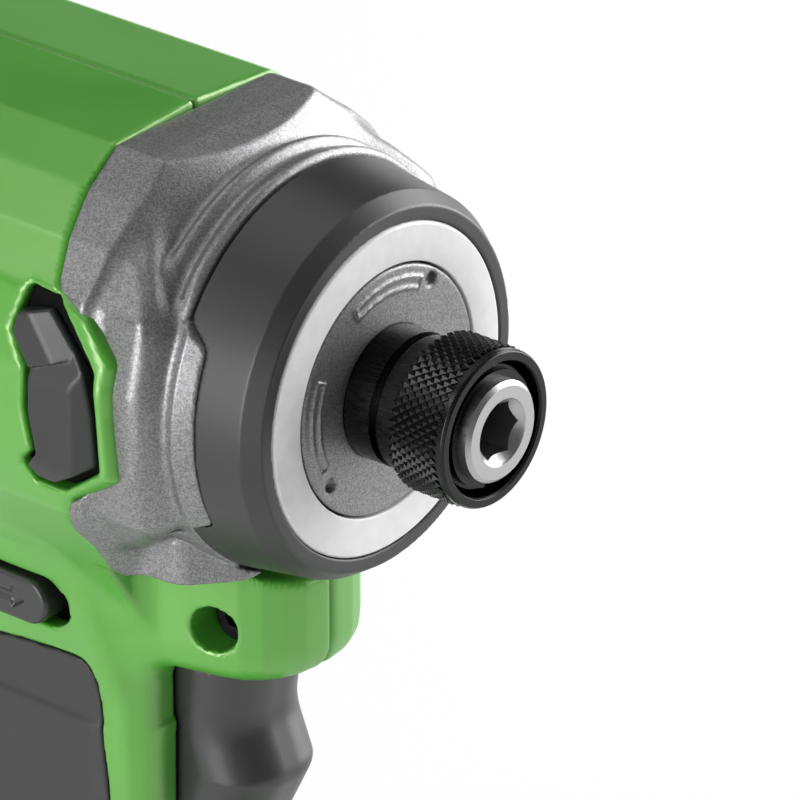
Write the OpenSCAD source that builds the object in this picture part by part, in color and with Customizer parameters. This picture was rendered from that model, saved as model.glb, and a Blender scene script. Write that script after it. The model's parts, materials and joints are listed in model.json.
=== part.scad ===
// Cordless impact driver with a slide-on battery pack.
// Lengths are in millimetres. The base of the pack is at z = 0, the nose points along +X.
// Inside the modules, x = 0 is the front face of the anvil and z = 0 is the spindle axis;
// seated() carries a piece from there to its place above the base.

/* [Overall] */
// Height of the spindle axis above the base of the battery pack
axis_h = 196; // [188:1:206]
// Distance from the middle of the base forward to the anvil's front face
nose_x = 66; // [56:1:76]
// Length of the head from the anvil's front face to its back
head_l = 136; // [136:1:146]
// Half of the head's greatest width
head_w = 31; // [30.6:0.1:34]
// Height of the head's roof ridge above the spindle axis
ridge_h = 29.2; // [29.2:0.1:32]
// Wall of the plastic housing
wall = 2.6; // [2.2:0.1:2.8]

/* [Bit holder] */
// Across flats of the hexagonal bit socket
hex_af = 6.45; // [6.4:0.01:6.6]
// Depth of the bit socket
hex_depth = 25; // [22:0.5:27]
// Diameter of the socket's countersunk mouth
mouth_d = 8.3; // [7.8:0.1:9]
// Diameter of the anvil's shank
anvil_d = 12.7; // [12.4:0.1:13.2]
// Distance that the anvil stands out of the hammer case's face
anvil_out = 17.5; // [17:0.5:20]
// Outer diameter of the release collar
collar_d = 19.7; // [19:0.1:20.4]
// Length of the release collar
collar_l = 11.6; // [11.4:0.1:12]
// Distance of the collar's front rim behind the anvil's face
collar_set = 1.1; // [0.8:0.1:1.2]
// Travel of the collar when it is pulled forward
collar_travel = 3; // [2.5:0.1:3.2]
// Diameter of a detent ball
detent_d = 3.6; // [3.5:0.05:3.7]

/* [Nose] */
// Inner diameter of the light ring
ring_in_d = 32; // [30:0.5:33]
// Outer diameter of the light ring
ring_out_d = 42; // [41:0.5:43]
// Thickness of the light ring
ring_t = 2.8; // [2:0.1:3.2]
// Diameter of the rubber bumper at its front shoulder
bumper_front_d = 48.6; // [47.5:0.1:50]
// Diameter of the rubber bumper at its rear edge
bumper_rear_d = 51.4; // [50.5:0.1:52.5]
// Length of the rubber bumper
bumper_l = 12; // [11:0.5:12.5]

/* [Impact mechanism] */
// Diameter of the hammer
hammer_d = 38.8; // [36:0.2:39]
// Length of the hammer's body
hammer_l = 18; // [16:0.5:18]
// Travel of the hammer against its spring
hammer_travel = 8.5; // [7:0.5:9]
// Diameter of the cam spindle
spindle_d = 14.6; // [13.6:0.2:15]
// Diameter of a cam ball
cam_ball_d = 5; // [4.6:0.1:5.2]
// Radius of the anvil's two wings
wing_r = 17.4; // [16:0.2:17.8]
// Running gap round turning steel parts
running_gap = 0.05; // [0.03:0.01:0.08]

/* [Gear stage] */
// Gear module
gear_m = 0.7; // [0.68:0.01:0.71]
// Teeth of the sun pinion
sun_n = 9; // [9:3:9]
// Teeth of a planet gear
planet_n = 21; // [21:3:21]
// Face width of the gears
gear_w = 8; // [7:0.5:8]
// Pressure angle of the teeth
gear_pa = 25; // [24:1:26]
// Play taken off each tooth's thickness
gear_play = 0.12; // [0.08:0.02:0.16]

/* [Motor] */
// Diameter of the stator
stator_d = 48; // [46:0.5:48]
// Length of the stator's laminations
stator_l = 18.5; // [17:0.5:18.5]
// Diameter of the rotor
rotor_d = 25; // [24:0.5:25.4]
// Diameter of the motor shaft
shaft_d = 5; // [4.6:0.1:5]
// Diameter of the cooling fan
fan_d = 40; // [38:0.5:40.5]

/* [Trigger and selector] */
// Width of the trigger
trigger_w = 17; // [15:0.5:18]
// Height of the trigger
trigger_h = 33; // [30:0.5:33.5]
// Travel of the trigger
trigger_travel = 6; // [5:0.5:6.5]
// Length of the direction selector's button
selector_l = 14; // [12:0.5:14.5]
// Height of the direction selector's button
selector_h = 6.2; // [5.6:0.1:6.4]
// Travel of the direction selector to each side of its middle
selector_travel = 3.2; // [2.5:0.1:3.4]

/* [Grip] */
// Width of the grip
grip_w = 33; // [32:0.5:36]
// Thickness of the soft layer on the grip
soft_t = 1.4; // [1:0.1:1.5]

/* [Battery pack] */
// Length of the battery pack
pack_l = 110; // [108:1:116]
// Width of the battery pack
pack_w = 75; // [74:1:80]
// Height of the battery pack's case
pack_h = 49.4; // [48.6:0.2:51]
// Diameter of a cell
cell_d = 18.2; // [18:0.1:18.3]
// Length of a cell
cell_l = 65; // [60:1:65]
// Wall of the battery pack's case
pack_wall = 2.2; // [1.8:0.1:2.4]
// Width of the rail block that slides into the foot
rail_w = 48; // [44:1:50]
// Height of the rail block
rail_h = 12; // [11:0.5:12.5]
// Play between the rail block and the foot
rail_gap = 0.3; // [0.2:0.05:0.5]

/* [Fasteners] */
// Diameter of the housing screws
screw_d = 3; // [2.6:0.1:3.2]
// Diameter of the housing screws' heads
screw_head_d = 5.5; // [5:0.1:5.8]
// Bore of the accessory inserts in the foot
insert_bore_d = 3.3; // [3.2:0.1:3.6]
// Outer diameter of the accessory inserts
insert_d = 6; // [5.5:0.1:6.5]
// Length of the accessory inserts
insert_l = 7; // [6:0.5:8]

/* [Hidden] */
$fn = 48;
EPS = 0.01;
FAR = 400;

// Colours
green = "#58b03c";
dark_grey = "#4a4a4c";
case_grey = "#8f8f92";
black = "#1d1d1f";
steel = "#b9bcc0";
bronze = "#a9743a";
copper = "#b4632d";

// Stations along the spindle, all behind the anvil's face
plate_x = -anvil_out;
collar_x = -collar_set;
bumper_x = plate_x - 0.1;
bumper_back = bumper_x - bumper_l;
ring_back = bumper_x - ring_t;
board_t = 1.6;
board_back = ring_back - board_t;
boss_x = plate_x + 3.9;
bushing_back = plate_x - 13.8;
washer_t = 1;
wing_x = bushing_back - washer_t - 0.6;
wing_t = 5.6;
lug_x = wing_x - 1;
hammer_x = wing_x - wing_t - 0.8;
hammer_back = hammer_x - hammer_l;
carrier_x = hammer_back - 9.2;
plate_t = 2.4;
planet_x = carrier_x - plate_t - 0.3;
carrier_back = planet_x - gear_w - 0.3 - plate_t;
bearing_w = 5;
spindle_bearing_x = carrier_back - 0.2;
cover_x = hammer_back - 4;
cover_wall_x = spindle_bearing_x - bearing_w;
cover_back = cover_wall_x - 2.4 - bearing_w;
front_bearing_x = cover_wall_x - 2.2;
fan_x = cover_back - 1;
fan_t = 6.5;
stator_x = fan_x - fan_t - 3.6;
stator_back = stator_x - stator_l;
winding_out = 2.8;
sensor_x = stator_back - winding_out - 0.3;
sensor_t = 1.5;
rear_bearing_x = sensor_x - sensor_t - 0.4;
rear_bearing_w = 4;

// Levels below the spindle axis
pack_top = pack_h - axis_h;
foot_z = pack_top + rail_gap;
roof_z = foot_z + rail_h + rail_gap;
base_z = -axis_h;
chin_z = -41.4;
chin_x = -26.4;
foot_x0 = -nose_x - pack_l / 2 + 2;
foot_x1 = -nose_x + pack_l / 2 - 3;

module seated() { translate([nose_x, 0, axis_h]) children(); }

// Corner rounding: each entry of a path is [across, up, corner radius]
function unit(v) = v / norm(v);
function flat(p) = [p[0], p[1]];
function bend(a, b) = acos(max(-1, min(1, a * b)));
function arc(c, r, a, b, n) =
    let (sweep = (b - a > 180) ? b - a - 360 : (b - a < -180) ? b - a + 360 : b - a)
    [for (i = [0:n]) c + r * [cos(a + sweep * i / n), sin(a + sweep * i / n)]];
function corner(p, q, s, n) =
    let (u = unit(flat(p) - flat(q)), v = unit(flat(s) - flat(q)), half = bend(u, v) / 2)
    (q[2] < EPS || half > 89.5) ? [flat(q)] :
    let (c = flat(q) + unit(u + v) * q[2] / sin(half), d = q[2] / tan(half),
         a = flat(q) + u * d - c, b = flat(q) + v * d - c)
    arc(c, q[2], atan2(a[1], a[0]), atan2(b[1], b[0]), n);
function rounded(path, n = 4) = let (m = len(path))
    [for (i = [0:m - 1]) each corner(path[(i + m - 1) % m], path[i], path[(i + 1) % m], n)];
function left_of(p, q) = let (d = unit(flat(q) - flat(p))) [-d[1], d[0]];
function inset(path, w) = let (m = len(path))
    [for (i = [0:m - 1])
        let (p = path[(i + m - 1) % m], q = path[i], s = path[(i + 1) % m],
             a = left_of(p, q), b = left_of(q, s),
             move = (a + b) * w / (1 + a * b), turns_in = a[0] * b[1] - a[1] * b[0] > 0)
        [q[0] + move[0], q[1] + move[1], max(0.3, turns_in ? q[2] - w : q[2] + w)]];
function both_sides(half, middle = []) =
    concat(half, middle, [for (i = [len(half) - 1:-1:0]) [-half[i][0], half[i][1], half[i][2]]]);

module along_x(x0, x1) { translate([x0, 0, 0]) rotate([90, 0, 90]) linear_extrude(x1 - x0) children(); }
module along_y(y0, y1) { translate([0, y1, 0]) rotate([90, 0, 0]) linear_extrude(y1 - y0) children(); }
module along_z(z0, z1) { translate([0, 0, z0]) linear_extrude(z1 - z0) children(); }
module rod_x(x0, x1, r) { along_x(min(x0, x1), max(x0, x1)) circle(r); }
module tube_x(x0, x1, ro, ri) {
    difference() {
        rod_x(x0, x1, ro);
        rod_x(min(x0, x1) - 1, max(x0, x1) + 1, ri);
    }
}
// A solid turned about the spindle axis from a profile of [station, radius] points
module turned(profile) {
    rotate([0, 90, 0]) rotate_extrude($fn = 96) polygon([for (p = profile) [p[1], p[0]]]);
}
// A body cut from three outlines: side (x, z), front (y, z) and plan (x, y), taken in by w
module three_views(side, front, plan, w) {
    intersection() {
        along_y(-FAR, FAR) polygon(rounded(inset(side, w)));
        along_x(-FAR, FAR) polygon(rounded(inset(front, w)));
        along_z(-FAR, FAR) polygon(rounded(inset(plan, w)));
    }
}
module half_space(side) {
    translate([-FAR, side > 0 ? 0 : -FAR, -FAR]) cube([2 * FAR, FAR, 2 * FAR]);
}
// A lead swept through points that lie in one plane across Y
lead_sides = 8;
function way(pts, i) = unit(pts[min(i + 1, len(pts) - 1)] - pts[max(i - 1, 0)]);
function lead_rings(pts, y, r) = [for (i = [0:len(pts) - 1]) let (t = way(pts, i))
    for (k = [0:lead_sides - 1]) let (a = 360 * k / lead_sides)
        [pts[i][0] - r * cos(a) * t[1], y + r * sin(a), pts[i][1] + r * cos(a) * t[0]]];
module lead(pts, y, r) {
    n = lead_sides;
    last = len(pts) - 1;
    polyhedron(lead_rings(pts, y, r), concat([[for (k = [0:n - 1]) k]], [[for (k = [n - 1:-1:0]) last * n + k]],
        [for (i = [0:last - 1], k = [0:n - 1]) let (q = (k + 1) % n)
            each [[i * n + k, (i + 1) * n + k, (i + 1) * n + q], [i * n + k, (i + 1) * n + q, i * n + q]]]));
}

// Where the green housing ends and the hammer case shows: the cheek's edge, seen from the side
seat_z = -24.2;
cheek_r = 27.1;
cheek = [[-47.6, 60, 0], [-47.4, 24.4, 2], [-46, 19.8, 2], [-44.6, 15.4, 1.5], [-39.4, 13, 1.5],
    [-34.9, 8.6, 1.5], [-34.9, 2, 2], [-34, -6.4, 1], [-41.4, -11.6, 1], [-43.8, -16.8, 1.5],
    [-41.8, -19.2, 1], [-41.6, seat_z, 0.6]];
module ahead_of_cheek(gap) {
    along_y(-FAR, FAR) polygon(rounded(concat([for (p = cheek) [p[0] - gap, p[1], p[2]]],
        [[60, seat_z, 0], [60, 60, 0]])));
}

// Outlines of the housing: the head, the neck with its chin, the grip and the foot
head_front = both_sides([[15, -34, 3], [22.5, -23, 5], [head_w - 2.2, -13.5, 5], [head_w, -6, 6],
    [head_w, 5, 6], [head_w - 2.4, 14.4, 4], [24.4, 20, 2], [19.3, 24.7, 1.5], [14.2, ridge_h - 0.9, 1.5]],
    [[0, ridge_h, 0]]);
head_side = [[-44, -34, 0], [-44, seat_z + 0.1, 0], [-28, seat_z + 0.1, 0], [-28, 60, 0],
    [-head_l + 12, 60, 0], [-head_l + 6, ridge_h - 2, 12],
    [-head_l, ridge_h - 15, 10], [-head_l, -21, 10], [-head_l + 11, -34, 9]];
head_plan = [[-28, -60, 0], [-28, 60, 0], [-head_l + 24, 60, 0], [-head_l + 22, head_w + 1, 20],
    [-head_l, head_w - 9, 12], [-head_l, 9 - head_w, 12], [-head_l + 22, -head_w - 1, 20],
    [-head_l + 24, -60, 0]];
neck_front = both_sides([[grip_w / 2 - 1, -62, 2], [grip_w / 2 - 0.5, chin_z - 5, 6], [18.2, -36, 5],
    [20.2, -25, 3], [23, -18, 2]]);
neck_side = [[-44, -18, 0], [-112, -18, 0], [-110, -29, 8], [-92, -42, 16], [-87, -58, 14], [-84, -66, 0],
    [-44, -66, 0]];
neck_plan = [[-120, -23, 2], [-52, -20.5, 10], [-44, -13, 4], [-44, 13, 4], [-52, 20.5, 10], [-120, 23, 2]];
chin_side = [[chin_x, -18, 0], [-66, -18, 0], [-66, chin_z, 0], [chin_x, chin_z, 5]];
chin_front = both_sides([[14, chin_z, 4], [16.4, -33, 5], [19.5, -25, 3], [22, -18, 2]]);
chin_plan = [[-66, -20.5, 2], [-50, -16, 10], [chin_x, -9.9, 11], [chin_x, 9.9, 11], [-50, 16, 10],
    [-66, 20.5, 2]];
grip_plan = [[-86.5, -grip_w / 2, 13], [-50, -grip_w / 2, 8], [-42.4, -11, 7], [-42.4, 11, 7],
    [-50, grip_w / 2, 8], [-86.5, grip_w / 2, 13]];
grip_side = [[-44, -50, 0], [-88, -50, 0], [-87, -58, 14], [-83.6, -86, 40], [-86, foot_z + 20, 20],
    [-96, foot_z + 12, 0], [-34, foot_z + 12, 0], [-42.4, foot_z + 26, 16], [-45.4, -84, 6]];
grip_front = both_sides([[grip_w / 2 + 1, foot_z + 8, 0], [grip_w / 2 + 1, -44, 0]]);
foot_side = [[foot_x1, foot_z, 1], [foot_x1, foot_z + 16, 5], [-40, foot_z + 22, 16], [-46, foot_z + 29, 0],
    [-82, foot_z + 29, 0], [-90, foot_z + 23, 16], [foot_x0, foot_z + 19, 6], [foot_x0, foot_z, 1]];
foot_front = both_sides([[pack_w / 2 - 1.5, foot_z, 1], [pack_w / 2 - 0.8, foot_z + 7, 4],
    [pack_w / 2 - 9, foot_z + 20, 9], [15, foot_z + 29, 0]]);
foot_plan = [[foot_x1, -pack_w / 2, 14], [foot_x1, pack_w / 2, 14], [foot_x0, pack_w / 2, 14],
    [foot_x0, -pack_w / 2, 14]];

module head_body(w) { three_views(head_side, head_front, head_plan, w); }
module head_hollow() {
    intersection() {
        head_body(wall);
        along_x(-FAR, -46) square(FAR, center = true);
    }
}
module neck_body(w) { three_views(neck_side, neck_front, neck_plan, w); }
module chin_body(w) { three_views(chin_side, chin_front, chin_plan, w); }
module grip_body(w) { three_views(grip_side, grip_front, grip_plan, w); }
module foot_body(w) { three_views(foot_side, foot_front, foot_plan, w); }
module outside(w) {
    head_body(w);
    neck_body(w);
    chin_body(w);
    grip_body(w);
    foot_body(w);
}
channel_half = rail_w / 2 + rail_gap;
lip_in = 3.4;
lip_h = 3.6;
module hollow() {
    head_hollow();
    neck_body(wall);
    grip_body(wall);
    intersection() {
        chin_body(wall);
        along_z(-FAR, chin_z + 10.5) square(2 * FAR, center = true);
    }
    intersection() {
        foot_body(wall);
        along_z(roof_z + wall, 0) square(FAR, center = true);
    }
}
rail_x0 = foot_x0 + 22;
rail_x1 = foot_x1 - 16;
terminal_x = rail_x0 - 0.5;
hook_x0 = foot_x1 - 6;
hook_x1 = hook_x0 + 3.4;
hook_half = 8;
hook_rise = 1.2;
module rail_channel() {
    difference() {
        translate([rail_x0 - 9, -channel_half, foot_z - 1]) cube([FAR, 2 * channel_half, roof_z - foot_z + 1]);
        for (s = [-1, 1]) translate([rail_x0 - 10, s * (channel_half - lip_in / 2) - lip_in / 2, foot_z - 2])
            cube([rail_x1 - rail_x0 + 10, lip_in, lip_h + 2]);
    }
    translate([hook_x0 - 0.4, -hook_half - 0.4, roof_z - 1]) cube([FAR, 2 * hook_half + 0.8, hook_rise + 1.4]);
}

// The trigger's slot, the selector's slots and the vents
trigger_x = -47;
trigger_z = chin_z - 0.3;
selector_x = -62;
selector_z = -33.8;
module slot_shape(l, h) {
    square([l - h, h], center = true);
    for (s = [-1, 1]) translate([s * (l - h) / 2, 0]) circle(d = h);
}
module selector_slot() {
    translate([selector_x, 0, selector_z]) along_y(-FAR, FAR)
        slot_shape(selector_l + 4.4, selector_h + 1.2);
}
module trigger_slot() {
    half = trigger_w / 2 + 0.4;
    translate([-57, -half, trigger_z - trigger_h - 0.6]) cube([30, 2 * half, trigger_h + 0.8]);
}
pocket = [[-48.9, 14.7, 0.8], [-44.2, 14.4, 1], [-37.4, 7.4, 1], [-36.4, -5.4, 1], [-42.8, -10, 1],
    [-47.4, -10.2, 1], [-49, -7.6, 0.6], [-47, -5.6, 0.8], [-48.2, -0.4, 3], [-48, 5.2, 0.8], [-50.6, 9, 1]];
vent_slots = 6;
module side_vents(x, pitch, l, z) {
    for (i = [0:vent_slots - 1], s = [-1, 1])
        translate([x - i * pitch, s * head_w, z]) rotate([0, 20, 0]) cube([1.8, 16, l], center = true);
}

// Housing screws: [station, level, y of the head's seat]
screw_spots = [[-35.2, -33.3, -6], [-74.5, -31, -6], [-96.6, 24.6, -6], [-head_l + 5.2, 15, -6],
    [-head_l + 5.2, -15, -6], [-66, -90, -6], [-64, -118, -6], [-101, foot_z + 18, -6], [-27, foot_z + 17, -6]];
screw_head_h = 2.2;
screw_l = 14;
boss_r = 3.6;
module at_screws() { for (p = screw_spots) translate([p[0], 0, p[1]]) children(); }
module screw_bosses(side) {
    intersection() {
        outside(0.6);
        half_space(side);
        at_screws() along_y(-FAR, FAR) circle(boss_r);
    }
}
module screw_holes(side) {
    for (p = screw_spots) translate([p[0], 0, p[1]]) {
        if (side < 0) {
            along_y(-FAR, p[2]) circle(d = screw_head_d + 0.5);
            along_y(p[2] - 1, 1) circle(d = screw_d + 0.4);
        } else along_y(-1, p[2] + screw_l + 0.5) circle(d = screw_d);
    }
}

// Ribs inside the head that carry the motor, the gear cover and the rear bearing
module head_rib(x0, x1, r) {
    difference() {
        intersection() {
            head_body(wall / 2);
            along_x(x0, x1) translate([-FAR, -22]) square([2 * FAR, 2 * FAR]);
        }
        rod_x(x0 - 1, x1 + 1, r);
    }
}
skirt_r = 24.2;
module ribs() {
    head_rib(cover_x - 6, cover_x - 3.6, skirt_r);
    head_rib(stator_x - 4, stator_x - 2, stator_d / 2);
    head_rib(stator_back + 2, stator_back + 4, stator_d / 2);
    head_rib(rear_bearing_x - rear_bearing_w + 0.4, rear_bearing_x - 0.4, 6.5);
}
grip_skin_side = [[-49.4, -40.6, 3], [-47.6, -64, 20], [-49.6, -84, 20], [-46.4, foot_z + 31, 4],
    [-98, foot_z + 31, 4], [-100, -36, 4], [-84, -44.4, 30], [-62, -41.6, 8]];
module grip_zone() { along_y(-FAR, FAR) polygon(rounded(grip_skin_side)); }
module grip_skin(side) {
    color(dark_grey) difference() {
        intersection() {
            union() {
                neck_body(0);
                grip_body(0);
            }
            grip_zone();
            half_space(side);
        }
        neck_body(soft_t);
        grip_body(soft_t);
        trigger_slot();
        if (side < 0) screw_holes(side);
    }
}
module housing_half(side) {
    color(green) difference() {
        union() {
            difference() {
                intersection() {
                    outside(0);
                    half_space(side);
                }
                hollow();
            }
            intersection() {
                ribs();
                half_space(side);
            }
            screw_bosses(side);
            insert_boss(side);
        }
        difference() {
            grip_zone();
            neck_body(soft_t);
            grip_body(soft_t);
            head_body(0);
        }
        ahead_of_cheek(0.2);
        turned([[cover_x, 0], [cover_x, skirt_r], [-48, skirt_r], [-48, cheek_r], [20, cheek_r], [20, 0]]);
        trigger_slot();
        selector_slot();
        along_y(side < 0 ? -FAR : skirt_r, side < 0 ? -skirt_r : FAR) polygon(rounded(pocket));
        side_vents(fan_x + 1, 3.4, 15, -2);
        side_vents(sensor_x + 8, 3, 11, -3);
        rail_channel();
        screw_holes(side);
        insert_hole(side);
        at_case_lugs() rod_x(cover_x - 12, -44, 3.3);
    }
}
insert_x = -34;
insert_z = foot_z + 8.4;
insert_y = pack_w / 2 - 1.2;
module insert_boss(side) {
    intersection() {
        foot_body(0.4);
        half_space(side);
        translate([insert_x, 0, insert_z]) along_y(-FAR, FAR) circle(insert_d / 2 + 2);
        translate([-FAR, side > 0 ? channel_half : -FAR, -FAR]) cube([2 * FAR, FAR - channel_half, 2 * FAR]);
    }
}
module insert_hole(side) {
    translate([insert_x, 0, insert_z])
        along_y(side > 0 ? insert_y - insert_l : -insert_y - 5, side > 0 ? insert_y + 5 : insert_l - insert_y)
            circle(d = insert_d);
}
module thread_inserts() {
    color(bronze) seated() for (s = [-1, 1]) translate([insert_x, 0, insert_z]) difference() {
        along_y(s > 0 ? insert_y - insert_l : -insert_y, s > 0 ? insert_y : insert_l - insert_y)
            circle(d = insert_d);
        along_y(s > 0 ? insert_y - insert_l - 1 : -insert_y - 1, s > 0 ? insert_y + 1 : insert_l + 1 - insert_y)
            circle(d = insert_bore_d);
    }
}
module housing_right() { seated() housing_half(-1); }
module housing_left() { seated() housing_half(1); }
module grip_right() { seated() grip_skin(-1); }
module grip_left() { seated() grip_skin(1); }
module housing_screws() {
    color(steel) seated() for (p = screw_spots) translate([p[0], 0, p[1]]) {
        along_y(p[2], p[2] + screw_l) circle(d = screw_d);
        difference() {
            along_y(p[2] - screw_head_h, p[2]) circle(d = screw_head_d);
            along_y(p[2] - screw_head_h - 1, p[2] - 0.9) circle(1.3, $fn = 6);
        }
    }
}

// A vent louvre: a plate behind the pocket that carries a three-faceted block, with an open gap ahead of it
louvre_plate_y = 27.2;
louvre_plate_t = 0.9;
louvre_block = [[-49.3, 11.8, 0.6], [-45.2, 12.8, 0.6], [-39.8, 6.2, 0.6], [-39, 0.7, 1], [-38.6, -6.2, 0.6],
    [-44.2, -9.5, 0.6], [-46.7, -9.3, 0.6], [-48.1, -7.9, 0.6], [-46.5, -5.9, 0.6], [-47.6, -0.6, 2],
    [-47.4, 5, 0.6], [-50, 8.9, 0.6]];
module louvre(side) {
    face = [[-28, -53, 0], [-28.8, -51, 0], [-30.2, -49, 0.5], [-30.2, -41.6, 0.5], [-28.4, -38.4, 0],
        [-27.4, -38, 0], [-27.4, -53, 0]];
    color(dark_grey) {
        translate([0, side * (louvre_plate_y + louvre_plate_t / 2), 0])
            along_y(-louvre_plate_t / 2, louvre_plate_t / 2) polygon(rounded(inset(pocket, -0.15)));
        intersection() {
            along_y(-FAR, FAR) polygon(rounded(louvre_block));
            along_z(-FAR, FAR) polygon([for (p = rounded(face)) [p[1], -side * p[0]]]);
        }
    }
}
module vent_louvre_right() { seated() louvre(-1); }
module vent_louvre_left() { seated() louvre(1); }

// The cast hammer case: a nose of revolution that runs back into a faceted block and a round skirt
block_front = both_sides([[15, -30, 1], [22.5, -23, 3], [head_w - 2.2, -13.5, 3], [head_w - 0.4, -6, 6],
    [head_w - 0.4, 5, 6], [head_w - 2.8, 14.4, 3], [24, 19.8, 1.5], [18.9, 24.3, 1], [13.8, 28.2, 1]]);
pad_side = [[-44, -20], [-36, -18], [-30, -13], [-30, 12], [-33.6, 17], [-39, 22.6], [-44, 25]];
case_r = hammer_d / 2 + 0.5;
foot_plan_case = [[-46, -20.6, 2], [-34, -19.4, 4], [-28.6, -13, 5], [-28.6, 13, 5], [-34, 19.4, 4], [-46, 20.6, 2]];
case_lugs = [[22.4, 12.4], [22.4, -12.4], [-22.4, 12.4], [-22.4, -12.4]];
lug_r = 3;
module at_case_lugs() { for (p = case_lugs) translate([0, p[0], p[1]]) children(); }
module hammer_case() {
    color(case_grey) seated() difference() {
        union() {
            turned([[plate_x, 0], [plate_x, ring_in_d / 2 - 0.3], [board_back, ring_in_d / 2 - 0.3],
                [board_back, 23.1], [bumper_back, 23.1], [bumper_back, 25.9], [-30.2, 26.4], [-31.2, 26.4],
                [-32.2, 25.9], [-33.1, 26], [-34, 26.9], [-35, 26.8], [-36, 26.2], [-44, 26.2], [-44, skirt_r],
                [cover_x, skirt_r], [cover_x, 0]]);
            intersection() {
                along_x(-47.8, -36.4) polygon(rounded(block_front));
                ahead_of_cheek(0);
                turned([[-48, 0], [-48, 40], [-43, 40], [-41, 29.4], [-37.4, 27.4], [-36.4, 26.4], [-36.4, 0]]);
            }
            intersection() {
                along_x(-44, -30) polygon(rounded(inset(block_front, 1.8)));
                ahead_of_cheek(0);
                along_y(-FAR, FAR) polygon(pad_side);
                turned([[-44, 0], [-44, 40], [-34, 40], [-31.8, 29.4], [-30.3, 27.4], [-30, 26], [-30, 0]]);
            }
            difference() {
                intersection() {
                    along_z(seat_z, -18) polygon(rounded(foot_plan_case));
                    ahead_of_cheek(0);
                }
                rod_x(bumper_back, 20, bumper_rear_d / 2 + 0.2);
            }
            for (s = [-1, 1]) intersection() {
                turned([[-30, 20], [-30, 25.8], [-26.1, 25.1], [-26.1, 20]]);
                translate([-40, s * 24 - 12, -12]) cube([20, 24, 24]);
            }
            intersection() {
                at_case_lugs() rod_x(cover_x, -44, lug_r);
                head_body(wall);
            }
            for (a = plate_ribs) plate_rib(a);
        }
        rod_x(20, -FAR, bushing_r);
        turned([[bushing_back, 0], [bushing_back, case_r], [cover_x - 1, case_r], [cover_x - 1, 0]]);
        turned([[-24, bushing_r + 2.6], [-24, 17.4], [-26.5, case_r], [bushing_back - 1, case_r],
            [bushing_back - 1, bushing_r + 2.6]]);
        at_case_lugs() rod_x(cover_x - 1, cover_x + 9, screw_d / 2);
        for (d = plate_dimples) rotate([d[0], 0, 0]) translate([plate_x, d[1], 0]) sphere(0.9);
    }
}
plate_ribs = [90, 182];
plate_rib_r = 13.4;
plate_rib_half = 27;
plate_dimples = [[56, 14.2], [219, 13.6]];
module plate_rib(a) {
    rotate([a, 0, 0]) intersection() {
        turned([[plate_x - 1, plate_rib_r - 0.9], [plate_x + 0.4, plate_rib_r - 0.9], [plate_x + 0.6, plate_rib_r],
            [plate_x + 0.4, plate_rib_r + 0.9], [plate_x - 1, plate_rib_r + 0.9]]);
        along_x(plate_x - 2, plate_x + 2) polygon([[0, 0], 30 * [cos(plate_rib_half), -sin(plate_rib_half)],
            30 * [cos(plate_rib_half), sin(plate_rib_half)]]);
    }
}
bushing_r = anvil_d / 2 + running_gap + 1.6;
module case_screws() {
    color(steel) seated() at_case_lugs() {
        rod_x(cover_x - 3, cover_x + 8, screw_d / 2);
        difference() {
            rod_x(cover_x - 3 - screw_head_h, cover_x - 3, screw_head_d / 2);
            rod_x(cover_x - 4 - screw_head_h, cover_x - 4, 1.3, $fn = 6);
        }
    }
}
module nose_bumper() {
    color(dark_grey) seated() difference() {
        turned([[bumper_x, ring_out_d / 2 + 0.05], [bumper_x, 22.7], [bumper_x - 0.2, 22.9],
            [bumper_x - 2.3, bumper_front_d / 2], [bumper_back, bumper_rear_d / 2], [bumper_back, 23.1],
            [board_back, 23.1], [board_back, ring_out_d / 2 + 0.05]]);
        for (s = [-1, 1]) intersection() {
            turned([[-31, 20], [-31, 30], [-26, 30], [-26, 20]]);
            translate([-40, s * 24 - 12, -12.1]) cube([20, 24, 24.2]);
        }
    }
}
module light_ring() {
    color("#ececec") seated() difference() {
        turned([[plate_x, ring_in_d / 2], [plate_x - 0.1, ring_in_d / 2 - 0.1], [ring_back, ring_in_d / 2 - 0.1],
            [ring_back, ring_out_d / 2 - 0.05], [plate_x - 0.4, ring_out_d / 2 - 0.05], [plate_x, ring_out_d / 2 - 0.4]]);
        turned([[ring_back - 1, 17.3], [ring_back + 1, 17.3], [ring_back + 1, 19.7], [ring_back - 1, 19.7]]);
    }
}
module light_board() {
    color("#e8e6da") seated() {
        tube_x(board_back, ring_back, ring_out_d / 2 - 0.2, ring_in_d / 2 + 0.1);
        for (a = [30:60:330]) rotate([a, 0, 0]) translate([ring_back - 0.2, 17.7, -0.8]) cube([1, 1.6, 1.6]);
    }
}

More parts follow.
